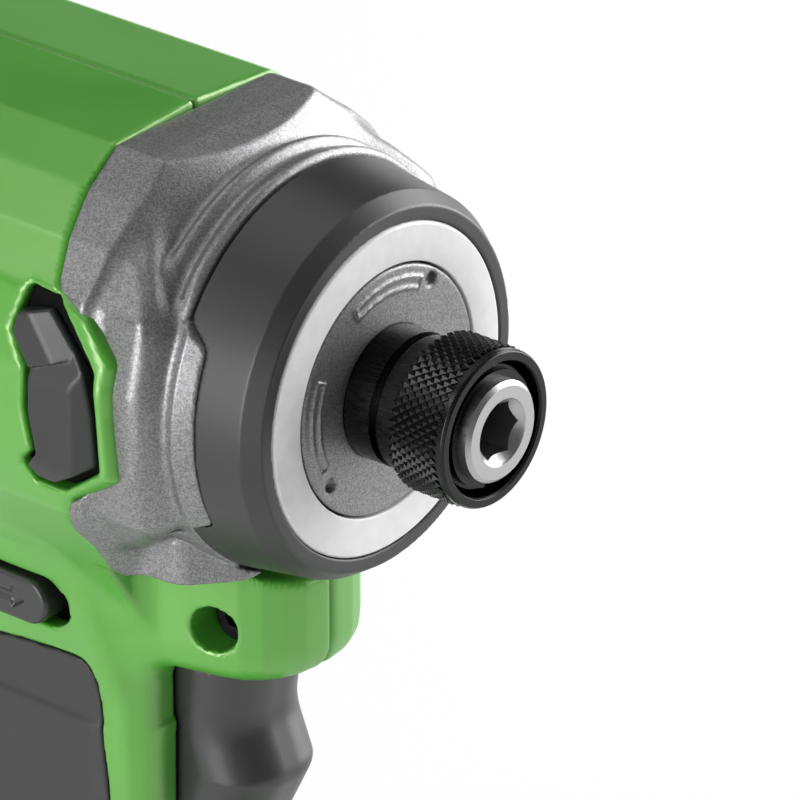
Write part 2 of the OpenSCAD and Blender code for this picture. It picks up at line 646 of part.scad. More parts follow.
// The anvil with its bit holder
module anvil_bushing() {
    color(black) seated() {
        tube_x(bushing_back, plate_x + 0.2, bushing_r, anvil_d / 2 + running_gap);
        tube_x(plate_x + 0.2, boss_x, bushing_r + 0.4, anvil_d / 2 + running_gap);
    }
}
module anvil_washer() {
    color(bronze) seated() tube_x(bushing_back - washer_t, bushing_back, 12.6, anvil_d / 2 + 0.3);
}
groove_x = -1.7;
clip_t = 0.8;
hub_r = 10.4;
wing_half = 17;
module sector(r, a0, a1) {
    polygon([[0, 0], for (i = [0:4]) let (a = a0 + (a1 - a0) * i / 4) 3 * r * [cos(a), sin(a)]]);
}
pilot_r = 3;
ball_x = collar_x - 8.2;
detent_r = anvil_d / 2 - detent_d / 2;
module anvil() {
    color(steel) seated() difference() {
        union() {
            turned([[0, 0], [0, anvil_d / 2 - 0.5], [-0.5, anvil_d / 2], [groove_x, anvil_d / 2],
                [groove_x, anvil_d / 2 - 0.8], [groove_x - clip_t - 0.1, anvil_d / 2 - 0.8],
                [groove_x - clip_t - 0.1, anvil_d / 2], [wing_x, anvil_d / 2], [wing_x, hub_r],
                [wing_x - wing_t, hub_r], [wing_x - wing_t, 0]]);
            intersection() {
                rod_x(wing_x - wing_t, wing_x, wing_r);
                along_x(wing_x - wing_t, wing_x) {
                    sector(wing_r, -wing_half, wing_half);
                    sector(wing_r, 180 - wing_half, 180 + wing_half);
                }
            }
        }
        along_x(-hex_depth, 1) circle(hex_af / sqrt(3), $fn = 6);
        turned([[1, mouth_d / 2 + 0.8], [-0.2, mouth_d / 2], [-1.2, hex_af / 2], [-1.2, 0], [1, 0]]);
        rod_x(wing_x - wing_t - 1, wing_x - wing_t + 5, pilot_r + running_gap);
        for (s = [-1, 1]) translate([ball_x, 0, 0]) rotate([s * 90, 0, 0]) rotate([90, 0, 0])
            translate([0, 0, 2]) cylinder(d = detent_d + 0.1, h = 8);
    }
}
module detent_ball(s) {
    color(steel) seated() translate([ball_x, 0, s * (detent_r - 0.02)]) sphere(d = detent_d);
}
module detent_ball_upper() { detent_ball(1); }
module detent_ball_lower() { detent_ball(-1); }
land_x = collar_x - 6.9;
collar_in_r = 8.45;
spring_washer_r = 7.7;
module bit_collar() {
    r = collar_d / 2;
    color(black) seated() turned([[collar_x, collar_in_r + 0.3], [collar_x, r - 0.5], [collar_x - 0.5, r],
        [collar_x - 1.9, r], [collar_x - 2.1, r - 0.25], [collar_x - collar_l + 3, r - 0.1],
        [collar_x - collar_l + 2.6, r - 1.4], [collar_x - collar_l + 0.3, r - 1.4],
        [collar_x - collar_l, r - 1.7], [collar_x - collar_l, anvil_d / 2 + 0.66],
        [ball_x + 0.1, anvil_d / 2 + running_gap], [land_x, anvil_d / 2 + running_gap], [land_x, collar_in_r],
        [collar_x - 0.3, collar_in_r]]);
}
module collar_washer() {
    color(steel) seated() tube_x(groove_x - clip_t - 0.9, groove_x - clip_t - 0.1, spring_washer_r, anvil_d / 2);
}
module collar_clip() {
    color(steel) seated() difference() {
        tube_x(groove_x - clip_t, groove_x, 7.3, anvil_d / 2 - 0.7);
        translate([groove_x - 2, -1.2, -9]) cube([3, 2.4, 6]);
    }
}
module collar_spring() {
    color(steel) seated() tube_x(land_x + 0.05, groove_x - clip_t - 1, 7.7, 6.6);
}

// The hammer, its spring and the cam
cavity_in = 10.2;
cavity_out = 15.2;
cavity_x = hammer_back + 11;
cam_ball_r0 = 6.9;
cam_ball_x = hammer_x - 8;
lug_half = 25;
lug_mid = -(wing_half + 1.6 + lug_half);
module hammer() {
    color(steel) seated() difference() {
        union() {
            turned([[hammer_x, 0], [hammer_x, hammer_d / 2 - 1], [hammer_x - 1, hammer_d / 2],
                [hammer_back + 1, hammer_d / 2], [hammer_back, hammer_d / 2 - 1], [hammer_back, 0]]);
            intersection() {
                tube_x(hammer_x - 1, lug_x, hammer_d / 2 - 1, hub_r + 0.5);
                along_x(hammer_x - 1, lug_x) for (a = [0, 180])
                    sector(hammer_d, a + lug_mid - lug_half, a + lug_mid + lug_half);
            }
        }
        rod_x(FAR, -FAR, spindle_d / 2 + running_gap);
        turned([[cavity_x, cavity_in], [cavity_x, cavity_out], [hammer_back - 1, cavity_out],
            [hammer_back - 1, cavity_in]]);
        for (s = [-1, 1]) translate([0, 0, s * cam_ball_r0]) {
            rod_x(cam_ball_x, 0, cam_ball_d / 2 + running_gap);
            translate([cam_ball_x, 0, 0]) sphere(cam_ball_d / 2 + running_gap);
        }
    }
}
module spring_washer() {
    color(steel) seated() tube_x(cavity_x - 1.2, cavity_x, cavity_out - 0.2, cavity_in + 0.2);
}
module hammer_spring() {
    color(steel) seated() tube_x(carrier_x + 0.05, cavity_x - 1.25, cavity_out - 0.6, cavity_in + 0.6);
}
module cam_balls() {
    color(steel) seated() for (s = [-1, 1]) translate([cam_ball_x, 0, s * cam_ball_r0]) sphere(d = cam_ball_d);
}
planet_c = gear_m * (sun_n + planet_n) / 2;
pin_r = 2;
carrier_r = 15.8;
tail_r = 7.5;
module at_planets() { for (i = [0:2]) rotate([120 * i, 0, 0]) translate([0, planet_c, 0]) children(); }
module cam_spindle() {
    r = spindle_d / 2;
    color(steel) seated() difference() {
        union() {
            turned([[hammer_x + 4.3, 0], [hammer_x + 4.3, pilot_r - 0.4], [hammer_x + 3.9, pilot_r],
                [hammer_x + 0.3, pilot_r], [hammer_x + 0.3, r - 0.6], [hammer_x - 0.3, r], [carrier_x, r],
                [carrier_x, carrier_r], [carrier_x - plate_t, carrier_r], [carrier_x - plate_t, 0]]);
            rod_x(planet_x - gear_w - 0.3, carrier_back, carrier_r);
            rod_x(carrier_back, carrier_back - bearing_w, tail_r);
            for (i = [0:2]) rotate([120 * i + 60, 0, 0]) translate([0, 13, 0]) rod_x(carrier_x, carrier_back, 2.7);
        }
        rotate([0, 90, 0]) rotate_extrude() translate([cam_ball_r0, cam_ball_x])
            circle(cam_ball_d / 2 + running_gap);
        rod_x(planet_x - gear_w - 0.3 + 1, -FAR, 4.6);
        at_planets() rod_x(0, -FAR, pin_r);
    }
}
module planet_pins() {
    color(steel) seated() at_planets() rod_x(carrier_x - 0.4, carrier_back + 0.4, pin_r);
}

// Involute gears: the tooth's flank from the base circle to the tip, its thickness less the play
function roll(r, rb) = sqrt(max(0, r * r / (rb * rb) - 1));
function inv_at(r, rb) = let (t = roll(r, rb)) t * 180 / PI - atan(t);
function flank(n, r, play) = let (rp = gear_m * n / 2, rb = rp * cos(gear_pa))
    90 / n + inv_at(rp, rb) - inv_at(max(r, rb), rb) - play / 2 / rp * 180 / PI;
function spoke(r, a) = [r * cos(a), r * sin(a)];
function gear_points(n, root, tip, play) = [for (k = [0:n - 1]) let (mid = 360 * k / n)
    each concat([spoke(root, mid - flank(n, root, play) - 1.2 * 9 / n)],
        [for (i = [0:4]) let (r = root + 0.1 + (tip - root - 0.1) * i / 4) spoke(r, mid - flank(n, r, play))],
        [for (i = [4:-1:0]) let (r = root + 0.1 + (tip - root - 0.1) * i / 4) spoke(r, mid + flank(n, r, play))],
        [spoke(root, mid + flank(n, root, play) + 1.2 * 9 / n)])];
add = 0.8 * gear_m;
ded = 1.05 * gear_m;
function pitch_r(n) = gear_m * n / 2;
ring_n = sun_n + 2 * planet_n;
ring_r = 21.6;
// A planet's tooth stands in the ring's gap at its outer side, and its gap takes the sun's tooth inside
module planet_gear(i) {
    color(steel) seated() rotate([120 * i, 0, 0]) translate([0, planet_c, 0])
        difference() {
            along_x(planet_x - gear_w, planet_x)
                polygon(gear_points(planet_n, pitch_r(planet_n) - ded, pitch_r(planet_n) + add, gear_play));
            rod_x(planet_x + 1, planet_x - gear_w - 1, pin_r + running_gap);
        }
}
module planet_gear_1() { planet_gear(0); }
module planet_gear_2() { planet_gear(1); }
module planet_gear_3() { planet_gear(2); }
module ring_gear() {
    color(steel) seated() difference() {
        rod_x(planet_x - gear_w - 0.2, planet_x + 0.6, ring_r);
        along_x(planet_x - gear_w - 1, planet_x + 2)
            polygon(gear_points(ring_n, pitch_r(ring_n) - add, pitch_r(ring_n) + ded, -gear_play));
    }
}
module sun_pinion() {
    color(steel) seated() difference() {
        union() {
            along_x(planet_x - gear_w, planet_x)
                polygon(gear_points(sun_n, pitch_r(sun_n) - ded, pitch_r(sun_n) + add, gear_play));
            rod_x(planet_x - gear_w, cover_wall_x - 1, 3);
        }
        rod_x(0, -FAR, nose_r);
    }
}
nose_r = 1.5;
module gear_cover() {
    color("#3a3a3c") seated() difference() {
        union() {
            turned([[cover_x, ring_r], [cover_x, skirt_r], [cover_wall_x + 1, skirt_r], [cover_wall_x - 1, skirt_r - 2],
                [cover_wall_x - 2.4, 18], [cover_wall_x - 2.4, 10.5], [cover_back, 10.5], [cover_back, 8],
                [front_bearing_x, 8], [front_bearing_x, 4.4], [spindle_bearing_x - bearing_w, 4.4],
                [spindle_bearing_x - bearing_w, 13], [spindle_bearing_x, 13], [spindle_bearing_x, ring_r]]);
            intersection() {
                at_case_lugs() rod_x(cover_x - 3, cover_x, lug_r);
                head_body(wall);
            }
        }
        at_case_lugs() rod_x(0, cover_x - 3, screw_d / 2);
        intersection() {
            at_case_lugs() rod_x(cover_x - 3, cover_x - 9, screw_head_d / 2 + 0.3);
            tube_x(0, -FAR, 60, ring_r + 0.8);
        }
    }
}

// Ball bearings, each drawn as its two rings with a caged row of balls between them
module ball_bearing(x, w, r_in, r_out) {
    color(steel) {
        tube_x(x - w, x, r_in + 1.2, r_in);
        tube_x(x - w, x, r_out, r_out - 1.2);
        tube_x(x - w + 0.5, x - 0.5, r_out - 1.2, r_in + 1.2);
    }
}
module spindle_bearing() { seated() ball_bearing(spindle_bearing_x, bearing_w, tail_r + running_gap, 13); }
module front_bearing() { seated() ball_bearing(front_bearing_x, bearing_w, shaft_d / 2 + running_gap, 8); }
module rear_bearing() { seated() ball_bearing(rear_bearing_x, rear_bearing_w, shaft_d / 2 + running_gap, 6.5); }

// The motor
slots = 6;
stator_in = rotor_d / 2 + 0.5;
module rotor() {
    color("#8a8d90") seated() {
        rod_x(stator_back, stator_x, rotor_d / 2);
        rod_x(rear_bearing_x - rear_bearing_w + 0.3, cover_wall_x - 1.2, shaft_d / 2);
        rod_x(cover_wall_x - 1.2, planet_x - 0.4, nose_r);
    }
}
module stator() {
    color("#77797c") seated() difference() {
        along_x(stator_back, stator_x) union() {
            difference() {
                circle(d = stator_d);
                circle(d = stator_d - 7);
            }
            for (i = [0:slots - 1]) rotate(360 / slots * i) {
                translate([stator_in + 1, -2.6]) square([stator_d / 2 - 4 - stator_in, 5.2]);
                intersection() {
                    circle(stator_in + 2.4);
                    sector(stator_in, -24, 24);
                }
            }
        }
        rod_x(stator_x + 1, stator_back - 1, stator_in);
    }
}
module windings() {
    out = winding_out;
    color(copper) seated() for (i = [0:slots - 1]) rotate([360 / slots * i, 0, 0]) difference() {
        translate([stator_back - out, stator_in + 2.5, -4.9])
            cube([stator_l + 2 * out, stator_d / 2 - 4.4 - stator_in - 2.5, 9.8]);
        translate([stator_back, 0, -2.6]) cube([stator_l, FAR, 5.2]);
    }
}
module sensor_board() {
    color("#2d6b3c") seated() tube_x(sensor_x - sensor_t, sensor_x, stator_d / 2 - 2.4, shaft_d / 2 + 2.9);
}
module motor_fan() {
    color("#2b2b2d") seated() difference() {
        union() {
            rod_x(fan_x, fan_x - fan_t, 5);
            rod_x(fan_x - fan_t + 1.2, fan_x - fan_t, fan_d / 2);
            for (i = [0:10]) rotate([360 / 11 * i, 0, 0]) translate([fan_x - fan_t, 4.5, -0.6])
                cube([fan_t, fan_d / 2 - 4.8, 1.2]);
        }
        rod_x(0, -FAR, shaft_d / 2);
    }
}

// The trigger, its switch and the direction selector
switch_x = trigger_x - trigger_travel - 1.4;
switch_l = 24;
switch_half = 12.4;
switch_h = 30;
switch_top = trigger_z - 5.6;
plunger_r = 3;
plunger_z = trigger_z - 14.6;
trigger_side = [[trigger_x, 0, 0.5], [-34.3, 0, 1], [-35.6, -8.4, 6], [-32.6, -15.9, 3], [-36.6, -24, 9],
    [-38, -29, 6], [-36.4, -trigger_h, 1.5], [trigger_x, -trigger_h, 0.5]];
module trigger() {
    color(dark_grey) seated() {
        intersection() {
            translate([0, 0, trigger_z]) along_y(-trigger_w / 2, trigger_w / 2) polygon(rounded(trigger_side));
            along_z(-FAR, 0) polygon(rounded([[trigger_x - 1, -trigger_w / 2, 0.5], [-32.9, -trigger_w / 2, 8],
                [-32.9, trigger_w / 2, 8], [trigger_x - 1, trigger_w / 2, 0.5]]));
        }
        translate([0, 0, plunger_z]) rod_x(trigger_x + 0.5, switch_x - 6, plunger_r);
    }
}
module trigger_spring() {
    color(steel) seated() translate([0, 0, plunger_z]) tube_x(switch_x + 0.05, trigger_x - 0.05, 5, 3.6);
}
module switch_body() {
    color("#303032") seated() difference() {
        translate([switch_x - switch_l, -switch_half, switch_top - switch_h])
            cube([switch_l, 2 * switch_half, switch_h]);
        translate([0, 0, plunger_z]) rod_x(switch_x + 1, switch_x - trigger_travel - 7, plunger_r + running_gap);
        translate([selector_x - 2.4, -selector_travel - 1.9, switch_top - 3.2])
            cube([4.8, 2 * selector_travel + 3.8, 4]);
    }
}
selector_half = 20.4;
module selector_bar() {
    color(dark_grey) seated() {
        translate([selector_x, 0, selector_z]) along_y(-selector_half, selector_half)
            slot_shape(selector_l, selector_h);
        translate([selector_x, 0, 0]) along_z(switch_top - 2.6, selector_z - 1) circle(1.5);
    }
}

// The electronics in the foot and the leads up to the motor
module_top = roof_z + wall + 6.5;
module_half = 18;
module_x0 = -86;
module_x1 = -45;
module control_module() {
    color("#23313a") seated() difference() {
        translate([module_x0, -module_half, roof_z + wall])
            cube([module_x1 - module_x0, 2 * module_half, module_top - roof_z - wall]);
        for (s = [-1, 1]) translate([module_x0 + 2, s * module_half / 2 - 7, module_top - 2])
            cube([module_x1 - module_x0 - 4, 14, 5]);
    }
}
lead_r = 1.1;
motor_route = [[sensor_x - 0.75, -21.7], [sensor_x - 0.75, -24], [sensor_x + 1.6, -26.6], [-120, -27.6],
    [-112, -28.2], [-98, -30], [-90, -36], [-84.6, -44], [-81.4, -58], [-79.6, -86], [-80.4, -112], [-80.4, module_top]];
module motor_leads() { color("#c9a227") seated() for (y = [-5, 0, 5]) lead(motor_route, y, lead_r); }
power_route = [[switch_x - switch_l + 3, switch_top - switch_h], [switch_x - switch_l + 2, -90], [-74, -98],
    [-73, -110], [-73, module_top]];
module power_leads() { color("#b02020") seated() for (y = [-8, 8]) lead(power_route, y, lead_r); }
blade_y = [-12, -4, 4, 12];
blade_z = roof_z - 5;
module terminal_block() {
    color("#2a2a2c") seated() {
        translate([rail_x0 - 9, -17, foot_z + 1]) cube([8.4, 34, roof_z - foot_z - 1]);
        for (y = blade_y) translate([terminal_x - 1, y - 0.4, blade_z - 2.6]) cube([12, 0.8, 5.2]);
    }
}

// The battery pack
crown_h = 13;
split_z = pack_top - crown_h;
pack_screw_d = 2.4;
pack_head_d = 4.4;
pack_boss_r = 3.3;
pack_seat = 8;
pack_x0 = -nose_x - pack_l / 2;
pack_x1 = -nose_x + pack_l / 2;
pack_plan = [[pack_x1, -pack_w / 2, 14], [pack_x1, pack_w / 2, 14], [pack_x0, pack_w / 2, 14],
    [pack_x0, -pack_w / 2, 14]];
pack_front = both_sides([[pack_w / 2 - 3, base_z, 2], [pack_w / 2, base_z + 5, 3], [pack_w / 2, pack_top - 3, 2],
    [pack_w / 2 - 1.2, pack_top, 1]]);
pack_side = [[pack_x1 - 3, base_z, 2], [pack_x1, base_z + 5, 3], [pack_x1, pack_top - 3, 2], [pack_x1 - 1.2, pack_top, 1],
    [pack_x0 + 1.2, pack_top, 1], [pack_x0, pack_top - 3, 2], [pack_x0, base_z + 5, 3], [pack_x0 + 3, base_z, 2]];
module pack_body(w) { three_views(pack_side, pack_front, pack_plan, w); }
button_w = 30;
button_x0 = pack_x1 - 8;
latch_travel = 3.5;
button_z = split_z + 6;
button_h = 4.6;
latch_floor = button_z - latch_travel - 0.5;
module latch_pocket(gap) {
    translate([hook_x0 - gap, -button_w / 2 - gap, latch_floor])
        cube([20, button_w + 2 * gap, button_z + button_h + gap - latch_floor]);
    translate([hook_x0 - gap, -hook_half - gap, latch_floor])
        cube([hook_x1 - hook_x0 + 2 * gap, 2 * (hook_half + gap), 30]);
}
module front_block() {
    along_z(pack_top - pack_wall, roof_z - rail_gap) intersection() {
        polygon(rounded(inset(foot_plan, 0.6)));
        union() {
            translate([rail_x1 + 0.4, -rail_w / 2]) square([FAR, rail_w]);
            translate([rail_x1 - 1, -rail_w / 2 + lip_in + rail_gap]) square([FAR, rail_w - 2 * (lip_in + rail_gap)]);
        }
    }
}
pack_screw_y = pack_w / 2 - 10.5;
pack_screw_spots = [for (x = [pack_x0 + 5.2, pack_x1 - 5.2], s = [1, -1]) [x, s * pack_screw_y]];
module at_pack_screws() { for (p = pack_screw_spots) translate([p[0], p[1], 0]) children(); }
module pack_upper_case() {
    color(black) seated() difference() {
        union() {
            difference() {
                intersection() {
                    pack_body(0);
                    along_z(split_z, 0) square(FAR, center = true);
                }
                pack_body(pack_wall);
            }
            translate([rail_x0, -rail_w / 2 + lip_in + rail_gap, pack_top - pack_wall])
                cube([rail_x1 - rail_x0, rail_w - 2 * (lip_in + rail_gap), pack_wall + rail_h]);
            translate([rail_x0, -rail_w / 2, foot_z + lip_h + rail_gap])
                cube([rail_x1 - rail_x0, rail_w, pack_top + rail_h - foot_z - lip_h - rail_gap]);
            at_pack_screws() along_z(split_z, pack_top - 1) circle(pack_boss_r);
            intersection() {
                translate([hook_x0 - pack_wall, -button_w / 2 - pack_wall, split_z])
                    cube([FAR, button_w + 2 * pack_wall, crown_h - 1]);
                pack_body(pack_wall / 2);
            }
            front_block();
        }
        translate([rail_x0 - 1, -17.5, foot_z + 0.5]) cube([2, 35, 20]);
        for (y = blade_y) translate([rail_x0 - 1, y - 1.6, pack_top - 5]) cube([14, 3.2, 30]);
        latch_pocket(0.3);
        at_pack_screws() along_z(split_z - 1, split_z + 9) circle(d = pack_screw_d);
    }
}
gauge_z = split_z - 12;
gauge_r = 4;
gauge_back = 4.3;
module pack_lower_case() {
    color(black) seated() difference() {
        union() {
            difference() {
                intersection() {
                    pack_body(0);
                    along_z(base_z - 1, split_z) square(FAR, center = true);
                }
                pack_body(pack_wall);
            }
            at_pack_screws() along_z(base_z + 1, split_z) circle(pack_boss_r);
            translate([pack_x1, 0, gauge_z]) rod_x(-gauge_back - 1.3, -1, gauge_r + 1.8);
        }
        at_pack_screws() {
            along_z(base_z - 1, split_z + 1) circle(d = pack_screw_d + 0.4);
            along_z(base_z - 1, base_z + pack_seat) circle(d = pack_head_d + 0.5);
        }
        translate([pack_x1, 0, gauge_z]) rod_x(-gauge_back, 10, gauge_r + 0.25);
    }
}
module pack_screws() {
    color(steel) seated() at_pack_screws() {
        along_z(base_z + pack_seat, split_z + 8.5) circle(d = pack_screw_d);
        difference() {
            along_z(base_z + pack_seat - screw_head_h, base_z + pack_seat) circle(d = pack_head_d);
            along_z(base_z + pack_seat - 4, base_z + pack_seat - 1.2) circle(1.2, $fn = 6);
        }
    }
}
cell_gap = 0.2;
cell_room = 17.8;
cell_end = 2.8;
module pack_cells() {
    pitch = cell_d + cell_gap;
    columns = floor((pack_l - cell_room) / pitch);
    half = min(cell_l / 2, pack_w / 2 - pack_wall - cell_end);
    color("#3f7fb5") seated() for (i = [0:columns - 1], k = [0, 1])
        translate([-nose_x + (i - (columns - 1) / 2) * pitch, 0,
            base_z + pack_wall + cell_gap + cell_d / 2 + k * pitch])
            along_y(-half, half) circle(d = cell_d);
}
board_z = base_z + pack_wall + cell_gap + 2 * (cell_d + cell_gap);
module pack_board() {
    color("#2d6b3c") seated() translate([rail_x0 + 2, -20, board_z]) cube([pack_l - 48, 40, 1.6]);
}
module pack_contacts() {
    color("#c58a3a") seated() for (y = blade_y, s = [-1, 1])
        translate([rail_x0 + 3, y + s * 1.05 - 0.3, board_z + 1.6]) cube([8, 0.6, blade_z + 2.6 - board_z - 1.6]);
}
module latch_button() {
    color(dark_grey) seated() difference() {
        union() {
            translate([button_x0, -button_w / 2, button_z]) cube([pack_x1 - button_x0 + 0.6, button_w, button_h]);
            translate([hook_x0, -hook_half, button_z])
                cube([hook_x1 - hook_x0, 2 * hook_half, roof_z + hook_rise - button_z]);
        }
        translate([pack_x1 + 0.2, -button_w / 2 + 3, button_z + 1.3]) cube([3, button_w - 6, 2]);
    }
}
module latch_spring() {
    color(steel) seated() translate([button_x0 + 4, 0, 0]) difference() {
        along_z(latch_floor + 0.05, button_z - 0.05) circle(3);
        along_z(latch_floor - 1, button_z + 1) circle(2);
    }
}
module gauge_button() {
    color("#5a5a5c") seated() translate([pack_x1 - 3.1, 0, gauge_z]) rod_x(0, 3.4, gauge_r);
}

housing_right();
housing_left();
grip_right();
grip_left();
housing_screws();
vent_louvre_right();
vent_louvre_left();
hammer_case();
case_screws();
nose_bumper();
light_ring();
light_board();
anvil_bushing();
anvil_washer();
anvil();
bit_collar();
collar_spring();
collar_washer();
collar_clip();
detent_ball_upper();
detent_ball_lower();
hammer();
hammer_spring();
spring_washer();
cam_balls();
cam_spindle();
planet_pins();
planet_gear_1();
planet_gear_2();
planet_gear_3();
ring_gear();
gear_cover();
spindle_bearing();
front_bearing();
rear_bearing();
sun_pinion();
rotor();
motor_fan();
stator();
windings();
sensor_board();
motor_leads();
power_leads();
switch_body();
trigger();
trigger_spring();
selector_bar();
control_module();
terminal_block();
thread_inserts();
pack_upper_case();
pack_lower_case();
pack_cells();
pack_board();
pack_contacts();
pack_screws();
latch_button();
latch_spring();
gauge_button();
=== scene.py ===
import json
import math

import bpy
import numpy as np
from mathutils import Matrix, Vector


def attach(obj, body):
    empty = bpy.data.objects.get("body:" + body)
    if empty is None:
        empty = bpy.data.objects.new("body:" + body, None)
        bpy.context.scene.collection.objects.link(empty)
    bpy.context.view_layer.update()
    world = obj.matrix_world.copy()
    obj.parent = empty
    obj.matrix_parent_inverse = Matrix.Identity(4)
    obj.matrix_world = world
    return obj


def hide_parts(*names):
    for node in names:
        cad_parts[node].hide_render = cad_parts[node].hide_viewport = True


bl_info = {
    "name": "Cordless impact driver",
    "version": (1, 0, 0),
    "blender": (4, 5, 0),
    "location": "3D View > Sidebar > Driver",
    "description": "Housing, nose, bit holder, battery pack and studio of a cordless impact driver",
    "category": "Object",
}

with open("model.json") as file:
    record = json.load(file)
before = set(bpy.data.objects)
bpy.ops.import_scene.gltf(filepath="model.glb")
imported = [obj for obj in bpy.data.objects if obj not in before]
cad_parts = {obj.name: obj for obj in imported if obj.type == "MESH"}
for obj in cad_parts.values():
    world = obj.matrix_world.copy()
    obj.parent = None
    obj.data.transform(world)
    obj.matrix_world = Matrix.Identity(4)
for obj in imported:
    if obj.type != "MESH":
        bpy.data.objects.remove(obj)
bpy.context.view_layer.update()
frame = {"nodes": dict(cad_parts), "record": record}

# Lengths are in millimetres from the middle of the anvil's face, which is here in the frame
FACE = np.array([66.0, 0.0, 196.0])
WALL = 2.4
GROUND = -196.0


# Colours and materials
def linear(code):
    """A six-digit sRGB hex colour as linear red, green, blue and alpha."""
    parts = [int(code[i:i + 2], 16) / 255 for i in (1, 3, 5)]
    return [c / 12.92 if c <= 0.04045 else ((c + 0.055) / 1.055) ** 2.4 for c in parts] + [1.0]


def add(tree, kind, links=None, **settings):
    """One node with its settings; a setting that names an input is set on that socket, and links feed sockets."""
    node = tree.nodes.new(kind)
    for name, value in settings.items():
        if hasattr(node, name):
            setattr(node, name, value)
        else:
            node.inputs[name.replace("_", " ")].default_value = value
    for socket, source in (links or {}).items():
        tree.links.new(source, node.inputs[socket])
    return node


def maths(tree, operation, a, b=None):
    """One step of arithmetic on numbers or sockets."""
    node = add(tree, "ShaderNodeMath", operation=operation)
    for i, v in enumerate((a, b)):
        if v is None:
            continue
        if isinstance(v, (int, float)):
            node.inputs[i].default_value = v
        else:
            tree.links.new(v, node.inputs[i])
    return node.outputs[0]


def tinted(tree, code, factor):
    """A colour, lighter or darker by a factor that varies over the surface."""
    colour = add(tree, "ShaderNodeMix", {"B": factor}, data_type="RGBA", blend_type="MULTIPLY")
    colour.inputs["Factor"].default_value = 1.0
    colour.inputs["A"].default_value = linear(code)
    return colour.outputs["Result"]


def new_material(name):
    """An empty material and its tree; no tree if the material is already there."""
    mat = bpy.data.materials.get(name)
    if mat:
        return mat, None
    mat = bpy.data.materials.new(name)
    mat.use_nodes = True
    mat.node_tree.nodes.clear()
    return mat, mat.node_tree


def millimetres(tree):
    """Object coordinates in millimetres."""
    where = add(tree, "ShaderNodeTexCoord")
    return add(tree, "ShaderNodeVectorMath", {0: where.outputs["Object"]}, operation="SCALE", Scale=1000.0).outputs[0]


def ramp(tree, source, stops):
    node = add(tree, "ShaderNodeValToRGB", {0: source})
    bar = node.color_ramp.elements
    bar[0].position, bar[0].color = stops[0][0], linear(stops[0][1])
    bar[1].position, bar[1].color = stops[-1][0], linear(stops[-1][1])
    for place, code in stops[1:-1]:
        bar.new(place).color = linear(code)
    return node.outputs[0]


def plastic(name, code, rough=0.5, grain=0.35, depth=0.03, tint=0.04, specular=0.5, coat=0.0,
            ior=1.5, gleam="#ffffff"):
    """Moulded plastic or rubber: an even colour, a spark-eroded grain of the given size and a trace of handling."""
    mat, tree = new_material(name)
    if tree is None:
        return mat
    at = millimetres(tree)
    fine = add(tree, "ShaderNodeTexNoise", {"Vector": at}, Scale=1 / grain, Detail=2.0, Roughness=0.6)
    broad = add(tree, "ShaderNodeTexNoise", {"Vector": at}, Scale=0.06, Detail=3.0)
    blotch = add(tree, "ShaderNodeMapRange", {"Value": broad.outputs[0]}, From_Min=0.3, From_Max=0.7,
                 To_Min=1 - tint, To_Max=1 + tint)
    wear = add(tree, "ShaderNodeMapRange", {"Value": broad.outputs[0]}, From_Min=0.3, From_Max=0.7,
               To_Min=rough - 0.05, To_Max=rough + 0.05)
    bump = add(tree, "ShaderNodeBump", {"Height": fine.outputs[0]}, Strength=0.6, Distance=depth / 1000)
    shader = add(tree, "ShaderNodeBsdfPrincipled", {"Base Color": tinted(tree, code, blotch.outputs[0]),
                 "Roughness": wear.outputs[0], "Normal": bump.outputs[0]}, IOR=ior)
    shader.inputs["Specular IOR Level"].default_value = specular
    shader.inputs["Coat Weight"].default_value = coat
    shader.inputs["Specular Tint"].default_value = linear(gleam)
    shader.inputs["Coat Roughness"].default_value = 0.3
    add(tree, "ShaderNodeOutputMaterial", {"Surface": shader.outputs[0]})
    return mat


def metal(name, code, rough=0.3, brush=None, depth=0.01):
    """Bare or plated metal with the fine lines of its last cut."""
    mat, tree = new_material(name)
    if tree is None:
        return mat
    at = millimetres(tree)
    stretch = add(tree, "ShaderNodeVectorMath", {0: at}, operation="MULTIPLY")
    stretch.inputs[1].default_value = brush or (1.5, 1.5, 1.5)
    lines = add(tree, "ShaderNodeTexNoise", {"Vector": stretch.outputs[0]}, Scale=1.0, Detail=3.0, Roughness=0.6)
    spread = add(tree, "ShaderNodeMapRange", {"Value": lines.outputs[0]}, From_Min=0.3, From_Max=0.7,
                 To_Min=max(0.05, rough - 0.08), To_Max=rough + 0.1)
    tone = add(tree, "ShaderNodeMapRange", {"Value": lines.outputs[0]}, From_Min=0.25, From_Max=0.75,
               To_Min=0.86, To_Max=1.08)
    bump = add(tree, "ShaderNodeBump", {"Height": lines.outputs[0]}, Strength=0.35, Distance=depth / 1000)
    shader = add(tree, "ShaderNodeBsdfPrincipled", {"Base Color": tinted(tree, code, tone.outputs[0]),
                 "Roughness": spread.outputs[0], "Normal": bump.outputs[0]}, Metallic=1.0)
    add(tree, "ShaderNodeOutputMaterial", {"Surface": shader.outputs[0]})
    return mat


